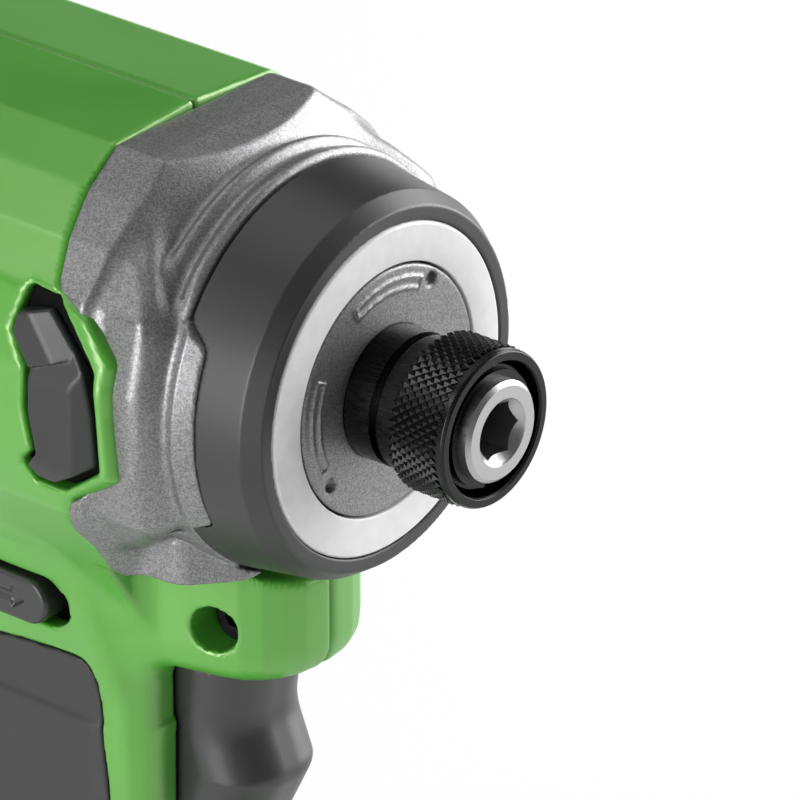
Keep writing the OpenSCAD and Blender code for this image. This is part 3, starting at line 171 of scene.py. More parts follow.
def cast_coating(name, code):
    """Die-cast case in a silver-grey wrinkle coat: flecks about 0.2 mm wide, a little brighter than their binder."""
    mat, tree = new_material(name)
    if tree is None:
        return mat
    at = millimetres(tree)
    flecks = add(tree, "ShaderNodeTexVoronoi", {"Vector": at}, Scale=5.5)
    grain = add(tree, "ShaderNodeTexNoise", {"Vector": at}, Scale=3.6, Detail=3.0, Roughness=0.7)
    fleck = add(tree, "ShaderNodeSeparateColor", {0: flecks.outputs["Color"]})
    mixed = maths(tree, "ADD", grain.outputs[0], fleck.outputs[0])
    tone = add(tree, "ShaderNodeMapRange", {"Value": mixed}, From_Min=0.45, From_Max=1.55,
               To_Min=0.66, To_Max=1.34)
    height = maths(tree, "ADD", grain.outputs[0], fleck.outputs[1])
    bump = add(tree, "ShaderNodeBump", {"Height": height}, Strength=0.5, Distance=0.00003)
    shader = add(tree, "ShaderNodeBsdfPrincipled", {"Base Color": tinted(tree, code, tone.outputs[0]),
                 "Normal": bump.outputs[0]}, Metallic=0.75, Roughness=0.42)
    add(tree, "ShaderNodeOutputMaterial", {"Surface": shader.outputs[0]})
    return mat


def diffuser(name, code):
    """Opal polycarbonate of the light ring: it scatters light just under its skin."""
    mat, tree = new_material(name)
    if tree is None:
        return mat
    at = millimetres(tree)
    cloud = add(tree, "ShaderNodeTexNoise", {"Vector": at}, Scale=0.5, Detail=2.0)
    tone = ramp(tree, cloud.outputs[0], [(0.3, code), (0.7, "#f4f4f4")])
    shader = add(tree, "ShaderNodeBsdfPrincipled", {"Base Color": tone}, Roughness=0.32, IOR=1.58)
    shader.inputs["Subsurface Weight"].default_value = 0.2
    shader.inputs["Subsurface Radius"].default_value = (0.002, 0.002, 0.002)
    shader.inputs["Subsurface Scale"].default_value = 1.0
    add(tree, "ShaderNodeOutputMaterial", {"Surface": shader.outputs[0]})
    return mat


# Each slot's finish
FINISHES = {
    "green_plastic": lambda c: plastic("moulded_nylon_green", c.housing, rough=0.38, grain=0.22, depth=0.02,
                                       specular=1.0, ior=1.75, gleam="#ecffcc"),
    "green_button": lambda c: plastic("moulded_acetal_green", c.housing, rough=0.44),
    "soft_rubber": lambda c: plastic("moulded_elastomer", c.rubber, rough=0.6, grain=0.25, depth=0.02, specular=0.8),
    "dark_plastic": lambda c: plastic("moulded_acetal_dark", c.dark, rough=0.4, grain=0.3, depth=0.02, specular=0.8),
    "black_plastic": lambda c: plastic("moulded_abs_black", c.pack, grain=0.4, depth=0.04),
    "cast_case": lambda c: cast_coating("die_cast_wrinkle_coat", c.cast),
    "zinc_steel": lambda c: metal("black_zinc_plated_steel", "#3a3a3c", rough=0.4),
    "bright_steel": lambda c: metal("ground_steel", c.steel, rough=0.36, brush=(0.5, 7, 7), depth=0.004),
    "dark_steel": lambda c: metal("hardened_steel", "#6e6e72", rough=0.4, brush=(0.6, 5, 5)),
    "black_steel": lambda c: metal("black_oxide_steel", c.oxide, rough=0.28, brush=(0.4, 6, 6), depth=0.004),
    "bronze": lambda c: metal("sintered_bronze", "#b08d57", rough=0.42),
    "copper": lambda c: metal("enamelled_copper", "#b8683a", rough=0.35, brush=(0.5, 4, 4)),
    "light_diffuser": lambda c: diffuser("opal_polycarbonate", c.diffuser),
    "circuit_board": lambda c: plastic("solder_mask_green", "#1f5a34", rough=0.35, grain=1.2, coat=0.3),
    "cell_sleeve": lambda c: plastic("shrink_sleeve_blue", "#3a6ea5", rough=0.3, coat=0.3),
    "lead_yellow": lambda c: plastic("silicone_lead_yellow", "#c9a227", rough=0.45),
    "lead_red": lambda c: plastic("silicone_lead_red", "#a82020", rough=0.45),
}


def finish(slot):
    """The material of a slot, in the colours of the panel."""
    return FINISHES[slot](bpy.context.scene.driver_colours)


# Outlines: each corner is (across, up, radius)
def rounded(path, steps=5):
    """A closed outline's points, its corners rounded."""
    out = []
    n = len(path)
    for i in range(n):
        p, q, s = (np.array(path[k % n][:2], float) for k in (i - 1, i, i + 1))
        radius = path[i][2] if len(path[i]) > 2 else 0
        u, v = (p - q) / np.linalg.norm(p - q), (s - q) / np.linalg.norm(s - q)
        half = math.acos(max(-1, min(1, float(u @ v)))) / 2
        if radius < 0.01 or half > math.radians(89.5):
            out.append(q)
            continue
        c = q + (u + v) / np.linalg.norm(u + v) * radius / math.sin(half)
        a, b = q + u * radius / math.tan(half) - c, q + v * radius / math.tan(half) - c
        start = math.atan2(a[1], a[0])
        sweep = (math.atan2(b[1], b[0]) - start + math.pi) % (2 * math.pi) - math.pi
        out += [c + radius * np.array([math.cos(start + sweep * k / steps), math.sin(start + sweep * k / steps)])
                for k in range(steps + 1)]
    return np.array(out)


def footprint(x0, x1):
    """The plan of the foot or the pack, with round corners."""
    return [(x1, -PACK_W / 2, 14), (x1, PACK_W / 2, 14), (x0, PACK_W / 2, 14), (x0, -PACK_W / 2, 14)]


def both_sides(half, middle=()):
    """An outline from its half on the +Y side and what lies on the middle."""
    return [*half, *middle, *[(-p[0], *p[1:]) for p in reversed(half)]]


def reach(path, us, vs):
    """Distance of each point (u, v) to a closed outline, negative inside it."""
    pts = rounded(path)
    U, V = np.meshgrid(us, vs, indexing="ij")
    near = np.full(U.shape, 1e12)
    inside = np.zeros(U.shape, bool)
    for a, b in zip(pts, np.roll(pts, -1, 0)):
        e = b - a
        if e @ e < 1e-12:
            continue
        du, dv = U - a[0], V - a[1]
        t = np.clip((du * e[0] + dv * e[1]) / (e @ e), 0, 1)
        near = np.minimum(near, (du - e[0] * t) ** 2 + (dv - e[1] * t) ** 2)
        if abs(e[1]) > 1e-12:
            inside ^= ((a[1] > V) != (b[1] > V)) & (U < e[0] * (V - a[1]) / e[1] + a[0])
    return np.where(inside, -np.sqrt(near), np.sqrt(near)).astype(np.float32)


def both(k, *parts):
    """What all the forms share, its outer edges rounded over k."""
    out = parts[0]
    for part in parts[1:]:
        h = np.maximum(k - np.abs(out - part), 0) / k
        out = np.maximum(out, part) + h * h * (k / 4)
    return out


def joined(k, *parts):
    """The forms together, the corners between them filled over k."""
    return -both(k, *[-p for p in parts])


def rolled(r, form, other):
    """What two forms share, with a round edge of radius r between them."""
    a, b = form + r, other + r
    return np.hypot(np.maximum(a, 0), np.maximum(b, 0)) + np.minimum(np.maximum(a, b), 0) - r


def less(k, form, *cuts):
    """The form without the cuts, the edges of the cuts rounded over k."""
    return both(k, form, *[-c for c in cuts])


class Block:
    """Sample points round a piece, spaced as finely as each stretch of it needs."""

    def __init__(self, xs, ys, zs):
        self.X, self.Y, self.Z = (self.spaced(a) for a in (xs, ys, zs))
        self.x, self.y, self.z = self.X[:, None, None], self.Y[None, :, None], self.Z[None, None, :]

    @staticmethod
    def spaced(stretches):
        """Stations over stretches of (start, end, spacing)."""
        grain = 1.0
        out = []
        for start, end, gap in stretches:
            n = max(2, round((end - start) / (gap * grain)))
            out.append(np.linspace(start, end, n, endpoint=False))
        out.append(np.array([stretches[-1][1]]))
        return np.concatenate(out).astype(np.float32)

    def side(self, path):
        return reach(path, self.X, self.Z)[:, None, :]

    def front(self, path):
        return reach(path, self.Y, self.Z)[None, :, :]

    def plan(self, path):
        return reach(path, self.X, self.Y)[:, :, None]

    def turned(self, path):
        """A form turned about the spindle from a closed outline of (station, radius)."""
        r = np.sqrt(self.y ** 2 + self.z ** 2)
        step = 0.08
        table = reach(path, self.X, np.arange(0, float(r.max()) + 0.2, step))
        k = r / step
        low = k.astype(np.int32)
        t = (k - low).astype(np.float32)
        low = np.broadcast_to(low, (len(self.X), len(self.Y), len(self.Z)))
        i = np.arange(len(self.X))[:, None, None]
        return table[i, low] * (1 - t) + table[i, low + 1] * t

    def bar(self, x, y, z):
        """A box from (low, high) pairs; None leaves that direction open."""
        out = None
        for at, pair in ((self.x, x), (self.y, y), (self.z, z)):
            if pair is None:
                continue
            d = np.abs(at - (pair[0] + pair[1]) / 2) - (pair[1] - pair[0]) / 2
            out = d if out is None else np.maximum(out, d)
        return out

    def rod_x(self, y, z, r):
        return np.hypot(self.y - y, self.z - z) - r

    def rod_y(self, x, z, r):
        return np.hypot(self.x - x, self.z - z) - r

    def rod_z(self, x, y, r):
        return np.hypot(self.x - x, self.y - y) - r


CORNERS = [(i, j, k) for i in (0, 1) for j in (0, 1) for k in (0, 1)]
EDGES = [(a, b) for a in CORNERS for b in CORNERS if sum(b) == sum(a) + 1 and all(p <= q for p, q in zip(a, b))]


def skin(block, form):
    """The form's surface as corners, quads and corner normals."""
    f = np.broadcast_to(form, (len(block.X), len(block.Y), len(block.Z))).astype(np.float32)
    s = f < 0
    nx, ny, nz = (n - 1 for n in f.shape)
    count = sum(s[i:i + nx, j:j + ny, k:k + nz].astype(np.uint8) for i, j, k in CORNERS)
    active = (count > 0) & (count < 8)
    at = np.nonzero(active)
    index = np.full(active.shape, -1, np.int32)
    index[active] = np.arange(len(at[0]))
    value = {c: f[at[0] + c[0], at[1] + c[1], at[2] + c[2]] for c in CORNERS}
    axes = (block.X, block.Y, block.Z)
    low = np.stack([axes[d][at[d]] for d in range(3)], 1)
    size = np.stack([axes[d][at[d] + 1] - axes[d][at[d]] for d in range(3)], 1)
    total, hits = np.zeros((len(at[0]), 3), np.float32), np.zeros(len(at[0]), np.float32)
    slope = np.zeros((len(at[0]), 3), np.float32)
    for a, b in EDGES:
        fa, fb = value[a], value[b]
        d = [q - p for p, q in zip(a, b)].index(1)
        slope[:, d] += (fb - fa) / size[:, d] / 4
        cross = (fa < 0) != (fb < 0)
        t = np.where(cross, fa / np.where(cross, fa - fb, 1), 0)
        place = np.array(a, np.float32) + t[:, None] * (np.array(b) - np.array(a))
        total += np.where(cross[:, None], place, 0)
        hits += cross
    corners = low + total / hits[:, None] * size
    quads = []
    for d in range(3):
        e, g = [(1, 2), (2, 0), (0, 1)][d]
        lo, hi = [slice(None)] * 3, [slice(None)] * 3
        lo[d], hi[d] = slice(0, -1), slice(1, None)
        a, b = s[tuple(lo)], s[tuple(hi)]
        p = np.array(np.nonzero(a != b))
        keep = (p[e] > 0) & (p[g] > 0) & (p[e] < f.shape[e] - 1) & (p[g] < f.shape[g] - 1)
        p = p[:, keep]
        ring = []
        for se, sg in ((-1, -1), (0, -1), (0, 0), (-1, 0)):
            q = p.copy()
            q[e] += se
            q[g] += sg
            ring.append(index[tuple(q)])
        ring = np.stack(ring, 1)
        back = b[tuple(p)]
        ring[back] = ring[back][:, ::-1]
        quads.append(ring)
    normal = slope / np.maximum(np.linalg.norm(slope, axis=1, keepdims=True), 1e-9)
    return corners, np.concatenate(quads), normal


def to_mesh(name, corners, faces, normals=None):
    """A mesh in the shared frame, in metres, from corners in millimetres from the anvil's face."""
    mesh = bpy.data.meshes.new(name)
    faces = np.asarray(faces, np.int32)
    mesh.vertices.add(len(corners))
    mesh.vertices.foreach_set("co", ((corners + FACE) / 1000).astype(np.float32).ravel())
    mesh.loops.add(faces.size)
    mesh.loops.foreach_set("vertex_index", faces.ravel())
    mesh.polygons.add(len(faces))
    mesh.polygons.foreach_set("loop_start", np.arange(len(faces), dtype=np.int32) * faces.shape[1])
    mesh.update(calc_edges=True)
    mesh.validate()
    mesh.polygons.foreach_set("use_smooth", np.ones(len(mesh.polygons), bool))
    if normals is not None and len(mesh.vertices) == len(normals):
        mesh.normals_split_custom_set_from_vertices(normals.tolist())
    return mesh


def place(name, mesh, material, body, slot, *nodes):
    """Puts a finished mesh in the scene as a piece that rides on its body."""
    piece = bpy.data.objects.new(name, mesh)
    bpy.context.scene.collection.objects.link(piece)
    mesh.materials.clear()
    mesh.materials.append(material)
    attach(piece, body)
    if nodes:
        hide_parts(*nodes)
    return piece


def carve(name, block, form, material, body, slot, *nodes, mirror=False):
    """A piece from its form; mirror makes its twin on the other side."""
    corners, faces, normals = skin(block, form)
    if mirror:
        corners, normals = corners * [1, -1, 1], normals * [1, -1, 1]
        faces = faces[:, ::-1]
    return place(name, to_mesh(name, corners, faces, normals), material, body, slot, *nodes)


# The housing's outlines: SIDE ones are (X, Z), FRONT ones (Y, Z) and PLAN ones (X, Y)
HEAD_W, RIDGE, HEAD_L, SEAT = 31.0, 29.2, 136.0, -24.2
CHEEK_R, SKIRT_R = 27.1, 24.2
HEAD_FRONT = both_sides([(15, -34, 3), (22.5, -23, 5), (HEAD_W - 2.2, -13.5, 5), (HEAD_W, -6, 6), (HEAD_W, 5, 6),
                         (HEAD_W - 2.4, 14.4, 4), (24.4, 20, 2), (19.3, 24.7, 1.5), (14.2, RIDGE - 0.9, 1.5)],
                        [(0, RIDGE, 0)])
HEAD_SIDE = [(-44, -34, 0), (-44, SEAT + 0.1, 0), (-28, SEAT + 0.1, 0), (-28, 60, 0), (-HEAD_L + 12, 60, 0),
             (-HEAD_L + 6, RIDGE - 2, 12), (-HEAD_L, RIDGE - 15, 10), (-HEAD_L, -21, 10), (-HEAD_L + 11, -34, 9)]
HEAD_PLAN = [(-28, -60, 0), (-28, 60, 0), (-HEAD_L + 24, 60, 0), (-HEAD_L + 22, HEAD_W + 1, 20),
             (-HEAD_L, HEAD_W - 9, 12), (-HEAD_L, 9 - HEAD_W, 12), (-HEAD_L + 22, -HEAD_W - 1, 20),
             (-HEAD_L + 24, -60, 0)]
GRIP_W, CHIN, CHIN_X, FOOT_Z, PACK_TOP = 33.0, -41.4, -26.4, -146.3, -146.6
FOOT_X0, FOOT_X1, PACK_W = -119.0, -14.0, 75.0
NECK_FRONT = both_sides([(15.5, -62, 2), (16, CHIN - 5, 6), (18.2, -36, 5), (20.2, -25, 3), (23, -18, 2)])
NECK_SIDE = [(-44, -18, 0), (-112, -18, 0), (-110, -29, 8), (-92, -42, 16), (-87, -58, 14), (-84, -66, 0),
             (-44, -66, 0)]
NECK_PLAN = [(-120, -23, 2), (-52, -20.5, 10), (-44, -13, 4), (-44, 13, 4), (-52, 20.5, 10), (-120, 23, 2)]
CHIN_FRONT = both_sides([(13.4, CHIN - 6, 0), (16.5, -34, 2), (19.5, -25, 3), (22, -18, 2)])
CHIN_PLAN = [(-66, -20.5, 2), (-50, -16, 10), (CHIN_X, -9.9, 11), (CHIN_X, 9.9, 11), (-50, 16, 10), (-66, 20.5, 2)]
GRIP_PLAN = [(-86.5, -GRIP_W / 2, 13), (-50, -GRIP_W / 2, 8), (-42.4, -11, 7), (-42.4, 11, 7),
             (-50, GRIP_W / 2, 8), (-86.5, GRIP_W / 2, 13)]
GRIP_SIDE = [(-44, -50, 0), (-88, -50, 0), (-87, -58, 14), (-83.6, -86, 40), (-86, FOOT_Z + 20, 20),
             (-96, FOOT_Z + 12, 0), (-34, FOOT_Z + 12, 0), (-42.4, FOOT_Z + 26, 16), (-45.4, -84, 6)]
GRIP_FRONT = both_sides([(GRIP_W / 2 + 1, FOOT_Z + 8, 0), (GRIP_W / 2 + 1, -44, 0)])
FOOT_SIDE = [(FOOT_X1, FOOT_Z, 1), (FOOT_X1, FOOT_Z + 16, 5), (-40, FOOT_Z + 22, 16), (-46, FOOT_Z + 29, 0),
             (-82, FOOT_Z + 29, 0), (-90, FOOT_Z + 23, 16), (FOOT_X0, FOOT_Z + 19, 6), (FOOT_X0, FOOT_Z, 1)]
FOOT_FRONT = both_sides([(PACK_W / 2 - 1.5, FOOT_Z, 1), (PACK_W / 2 - 0.8, FOOT_Z + 7, 4),
                         (PACK_W / 2 - 9, FOOT_Z + 20, 9), (15, FOOT_Z + 29, 0)])
FOOT_PLAN = footprint(FOOT_X0, FOOT_X1)
CHEEK = [(-47.6, 60, 0), (-47.4, 24.4, 2), (-46, 19.8, 2), (-44.6, 15.4, 1.5), (-39.4, 13, 1.5), (-34.9, 8.6, 1.5),
         (-34.9, 2, 2), (-34, -6.4, 1), (-41.4, -11.6, 1), (-43.8, -16.8, 1.5), (-41.8, -19.2, 1),
         (-41.6, SEAT, 0.6)]
AHEAD = [(60, SEAT, 0), (60, 60, 0)]
POCKET = [(-48.9, 14.7, 0.8), (-44.2, 14.4, 1), (-37.4, 7.4, 1), (-36.4, -5.4, 1), (-42.8, -10, 1),
          (-47.4, -10.2, 1), (-49, -7.6, 0.6), (-47, -5.6, 0.8), (-48.2, -0.4, 3), (-48, 5.2, 0.8), (-50.6, 9, 1)]
LOUVRE = [(-49.3, 11.8, 0.6), (-45.2, 12.8, 0.6), (-39.8, 6.2, 0.6), (-39, 0.7, 1), (-38.6, -6.2, 0.6),
          (-44.2, -9.5, 0.6), (-46.7, -9.3, 0.6), (-48.1, -7.9, 0.6), (-46.5, -5.9, 0.6), (-47.6, -0.6, 2),
          (-47.4, 5, 0.6), (-50, 8.9, 0.6)]
SKIN_SIDE = [(-50.6, -40.6, 3), (-48.8, -64, 20), (-50.4, -84, 20), (-46.8, FOOT_Z + 31, 4),
             (-98, FOOT_Z + 31, 4), (-100, -36, 4), (-84, -44.4, 30), (-62, -41.6, 8)]
SOFT = 1.4
TRIGGER_Z, TRIGGER_H, TRIGGER_W = CHIN - 0.3, 33.0, 17.0
SELECTOR = (-62.0, -33.8)
# Screws as (X, Z), rows of six vents as (first X, pitch, length, Z) at the slant, and the accessory insert as (X, Z)
SCREWS = [(-35.2, -33.3), (-74.5, -31), (-96.6, 24.6), (-HEAD_L + 5.2, 15), (-HEAD_L + 5.2, -15), (-66, -90),
          (-64, -118), (-101, FOOT_Z + 18), (-27, FOOT_Z + 17)]
RAIL_W, RAIL_H, RAIL_GAP = 48.0, 12.0, 0.3
ROOF_Z = FOOT_Z + RAIL_H + RAIL_GAP
RAIL_X0, RAIL_X1 = FOOT_X0 + 22, FOOT_X1 - 16
VENTS, VENT_SLANT, VENT_R = [(-94.5, 3.4, 15, -2), (-118.3, 3.0, 11, -3)], 20, 0.9
INSERT = (-34.0, FOOT_Z + 8.4)


def housing_block():
    return Block([(-137.5, -64, 0.8), (-64, -52, 0.5), (-52, -33.4, 0.3), (-33.4, -25.4, 0.45), (-25.4, -12.5, 0.9)],
                 [(-1.2, 8, 0.6), (8, 16, 0.36), (16, 24, 0.6), (24, 32, 0.4), (32, 39, 0.7)],
                 [(-148, -66, 0.9), (-66, -25, 0.45), (-25, 31, 0.33)])


def slot_line(b, length, height):
    """Distance to a slot with round ends across the grip."""
    dx = np.maximum(np.abs(b.x - SELECTOR[0]) - (length - height) / 2, 0)
    return np.hypot(dx, b.z - SELECTOR[1]) - height / 2


def grip_forms(b):
    neck = both(1.0, b.side(NECK_SIDE), b.front(NECK_FRONT), b.plan(NECK_PLAN))
    grip = both(1.0, b.side(GRIP_SIDE), b.front(GRIP_FRONT), b.plan(GRIP_PLAN))
    return neck, grip


def head_form(b):
    return both(1.2, b.side(HEAD_SIDE), b.front(HEAD_FRONT), b.plan(HEAD_PLAN))


def chin_form(b):
    """The chin under the nose, its bottom edge rolled under."""
    sides = both(0.8, b.plan(CHIN_PLAN), b.front(CHIN_FRONT))
    form = np.maximum(both(5.5, sides, CHIN - b.z), np.maximum(b.z + 18, -66 - b.x))
    return less(1.4, form, b.rod_x(0, 0, CHEEK_R))


def trigger_room(b):
    half = TRIGGER_W / 2 + 0.4
    return b.bar((-57, -27), (-half, half), (TRIGGER_Z - TRIGGER_H - 0.6, TRIGGER_Z + 0.2))


def vent_slots(b):
    out = None
    c, s = math.cos(math.radians(VENT_SLANT)), math.sin(math.radians(VENT_SLANT))
    for x, pitch, length, z in VENTS:
        for i in range(6):
            dx, dz = b.x - (x - i * pitch), b.z - z
            u, w = dx * c - dz * s, dx * s + dz * c
            slot = np.hypot(np.maximum(np.abs(w) - length / 2 + VENT_R, 0), u) - VENT_R
            out = slot if out is None else np.minimum(out, slot)
    return np.maximum(out, 23.0 - b.y)


def housing_form(b, screwed):
    """One half of the housing, drawn on the +Y side; the screwed half has the screws' heads."""
    head = head_form(b)
    neck, grip = grip_forms(b)
    chin = chin_form(b)
    foot = both(1.6, b.side(FOOT_SIDE), b.front(FOOT_FRONT), b.plan(FOOT_PLAN))
    outer = joined(1.0, joined(3.0, head, neck), grip, foot)
    outer = joined(2.6, outer, chin)
    hollow = np.maximum(outer + WALL, np.where(b.x > -46, 10.0, -10.0))
    hollow = np.maximum(hollow, np.where(b.z < FOOT_Z + 40, ROOF_Z + 2.6 - b.z, -10.0))
    ahead = b.side([(p[0] - 0.2, *p[1:]) for p in CHEEK] + AHEAD)
    edge = np.interp(b.Z, [-16, -12, 6, 12], [0.8, 2.6, 2.6, 0.8]).astype(np.float32)[None, None, :]
    shell = np.maximum(both(edge, outer, -ahead), -hollow)
    recess = less(0.3, np.maximum(b.side(SKIN_SIDE), -(joined(1.0, neck, grip) + SOFT)), head, chin)
    case = b.turned([(-61.3, -5), (-61.3, SKIRT_R), (-48, SKIRT_R), (-48, CHEEK_R), (20, CHEEK_R), (20, -5)])
    shell = less(0.3, shell, recess, case, trigger_room(b), slot_line(b, 18.4, 7.4), vent_slots(b))
    shell = less(0.9, shell, np.maximum(b.side(POCKET), SKIRT_R - b.y))
    half = RAIL_W / 2 + RAIL_GAP
    channel = b.bar((RAIL_X0 - 9, 60), (-half, half), (-170, ROOF_Z))
    lip = b.bar((RAIL_X0 - 40, RAIL_X1), (half - 3.4, half + 9), (-170, FOOT_Z + 3.6))
    hook = b.bar((FOOT_X1 - 6.4, 60), (-8.4, 8.4), (-170, ROOF_Z + 1.6))
    shell = less(0.4, shell, np.minimum(np.maximum(channel, -lip), hook))
    for x, z in SCREWS:
        if screwed:
            shell = less(0.4, shell, np.maximum(b.rod_y(x, z, 3.0), 6.0 - b.y))
        else:
            shell = less(0.2, shell, np.maximum(b.rod_y(x, z, 1.5), b.y - 8.5))
    shell = less(0.3, shell, np.maximum(b.rod_y(*INSERT, 3.0), PACK_W / 2 - 8.2 - b.y))
    return both(0.16, shell, 0.03 - b.y)


class DRIVER_OT_housing(bpy.types.Operator):
    """The two green housing halves, moulded in glass-filled nylon"""
    bl_idname = "driver.housing"
    bl_label = "Housing halves"

    def execute(self, context):
        mat = finish("green_plastic")
        b = housing_block()
        for side, screwed in (("right", True), ("left", False)):
            carve("housing_shell_" + side, b, housing_form(b, screwed), mat, "housing", "green_plastic",
                  "housing_" + side, mirror=screwed)
        return {"FINISHED"}


class DRIVER_OT_grips(bpy.types.Operator):
    """The soft layer moulded over the grip"""
    bl_idname = "driver.grips"
    bl_label = "Soft grips"

    def execute(self, context):
        mat = finish("soft_rubber")
        b = Block([(-102, -54, 0.75), (-54, -44, 0.3)], [(-1.2, 12, 0.6), (12, 18, 0.3), (18, 24, 0.5)],
                  [(-124, -72, 0.75), (-72, -34, 0.4)])
        neck, grip = grip_forms(b)
        outer = joined(1.0, neck, grip)
        form = both(0.5, outer, b.side(SKIN_SIDE) + 0.12)
        form = np.maximum(form, -(outer + SOFT - 0.05))
        form = less(0.3, form, trigger_room(b))
        form = less(0.3, form, head_form(b) - 0.1)
        for side, screwed in (("right", True), ("left", False)):
            half = both(0.35, form, 0.06 - b.y)
            if screwed:
                for x, z in SCREWS:
                    half = less(0.3, half, np.maximum(b.rod_y(x, z, 3.0), 6.0 - b.y))
            carve("soft_grip_" + side, b, half, mat, "housing", "soft_rubber", "grip_" + side, mirror=screwed)
        return {"FINISHED"}


class DRIVER_OT_louvres(bpy.types.Operator):
    """The three-faceted louvre in each cheek's pocket"""
    bl_idname = "driver.louvres"
    bl_label = "Vent louvres"

    def execute(self, context):
        mat = plastic("moulded_nylon_dark", context.scene.driver_colours.dark, rough=0.4, grain=0.3, depth=0.02,
                      specular=0.6)
        b = Block([(-51.5, -35.5, 0.2)], [(26.6, 31.6, 0.2)], [(-11.5, 15.8, 0.2)])
        step = (b.z - 5.0) * 0.935 - (b.x + 47.6) * 0.353
        fold = (b.z + 6.8) * 0.995 + (b.x + 46.9) * 0.09
        front, slant = b.x + 38.7, (b.x + 39.8) * 0.774 + (b.z - 6.2) * 0.633
        face = b.y - 30.9 + 0.09 * (b.x + 48.5)
        low = both(0.25, face, b.y - 28.6 + 0.62 * front, face + 0.35 * (b.z - 3.9), face - 0.3 * fold)
        high = both(0.25, face + 0.1 + 0.1 * step, -step, b.y - 28.6 + 0.62 * slant)
        form = both(0.4, b.side(LOUVRE) + 0.05, np.minimum(low, high), 27.6 - b.y)
        # Behind each louvre a near-black plate fills the pocket: painted shade for the dark gap round the louvre
        plate = both(0.3, b.side(POCKET) + 0.1, np.abs(b.y - 27.4) - 0.25)
        black = plastic("painted_shade_pocket_black", "#0c0c0d", rough=0.8, specular=0.1)
        for side in ("right", "left"):
            carve("louvre_" + side, b, form, mat, "housing", "dark_plastic", "vent_louvre_" + side,
                  mirror=side == "right")
            carve("louvre_shade_well_" + side, b, plate, black, "housing", "black_plastic", mirror=side == "right")
        return {"FINISHED"}


# The nose
BLOCK_FRONT = both_sides([(15, -30, 1), (22.5, -23, 3), (HEAD_W - 2.2, -13.5, 3), (HEAD_W - 0.4, -6, 6),
                          (HEAD_W - 0.4, 5, 6), (HEAD_W - 2.8, 14.4, 3), (24, 19.8, 1.5), (18.9, 24.3, 1),
                          (13.8, 28.2, 1)])
PAD_SIDE = [(-44, -20), (-36, -18, 2), (-30, -13, 2), (-30, 12, 2), (-33.6, 17, 2), (-39, 22.6, 2), (-44, 25)]
PLATE_X, RING_BACK, BOARD_BACK, BUMPER_BACK = -17.5, -20.4, -22.0, -29.6
CASE_FOOT = [(-46, -20.6, 2), (-34, -19.4, 4), (-28.6, -13, 5), (-28.6, 13, 5), (-34, 19.4, 4), (-46, 20.6, 2)]
# The plate's arc ribs, in degrees, and its dimples as (angle, radius)
RIB_ANGLES, RIB_HALF, RIB_R, DIMPLES = (90, 182), 27, 13.4, ((56, 14.2), (219, 13.6))


def lug_edge(b):
    """Station of the bumper's back edge: it swings forward round the case's lug on each side."""
    return np.interp(b.Z, [-14, -13.4, -12.4, -11.9, 10.3, 11.2, 13.3, 14.2],
                     [-29.5, -29.2, -26.6, -26.15, -26.15, -26.5, -29.1, -29.5]).astype(np.float32)[None, None, :]


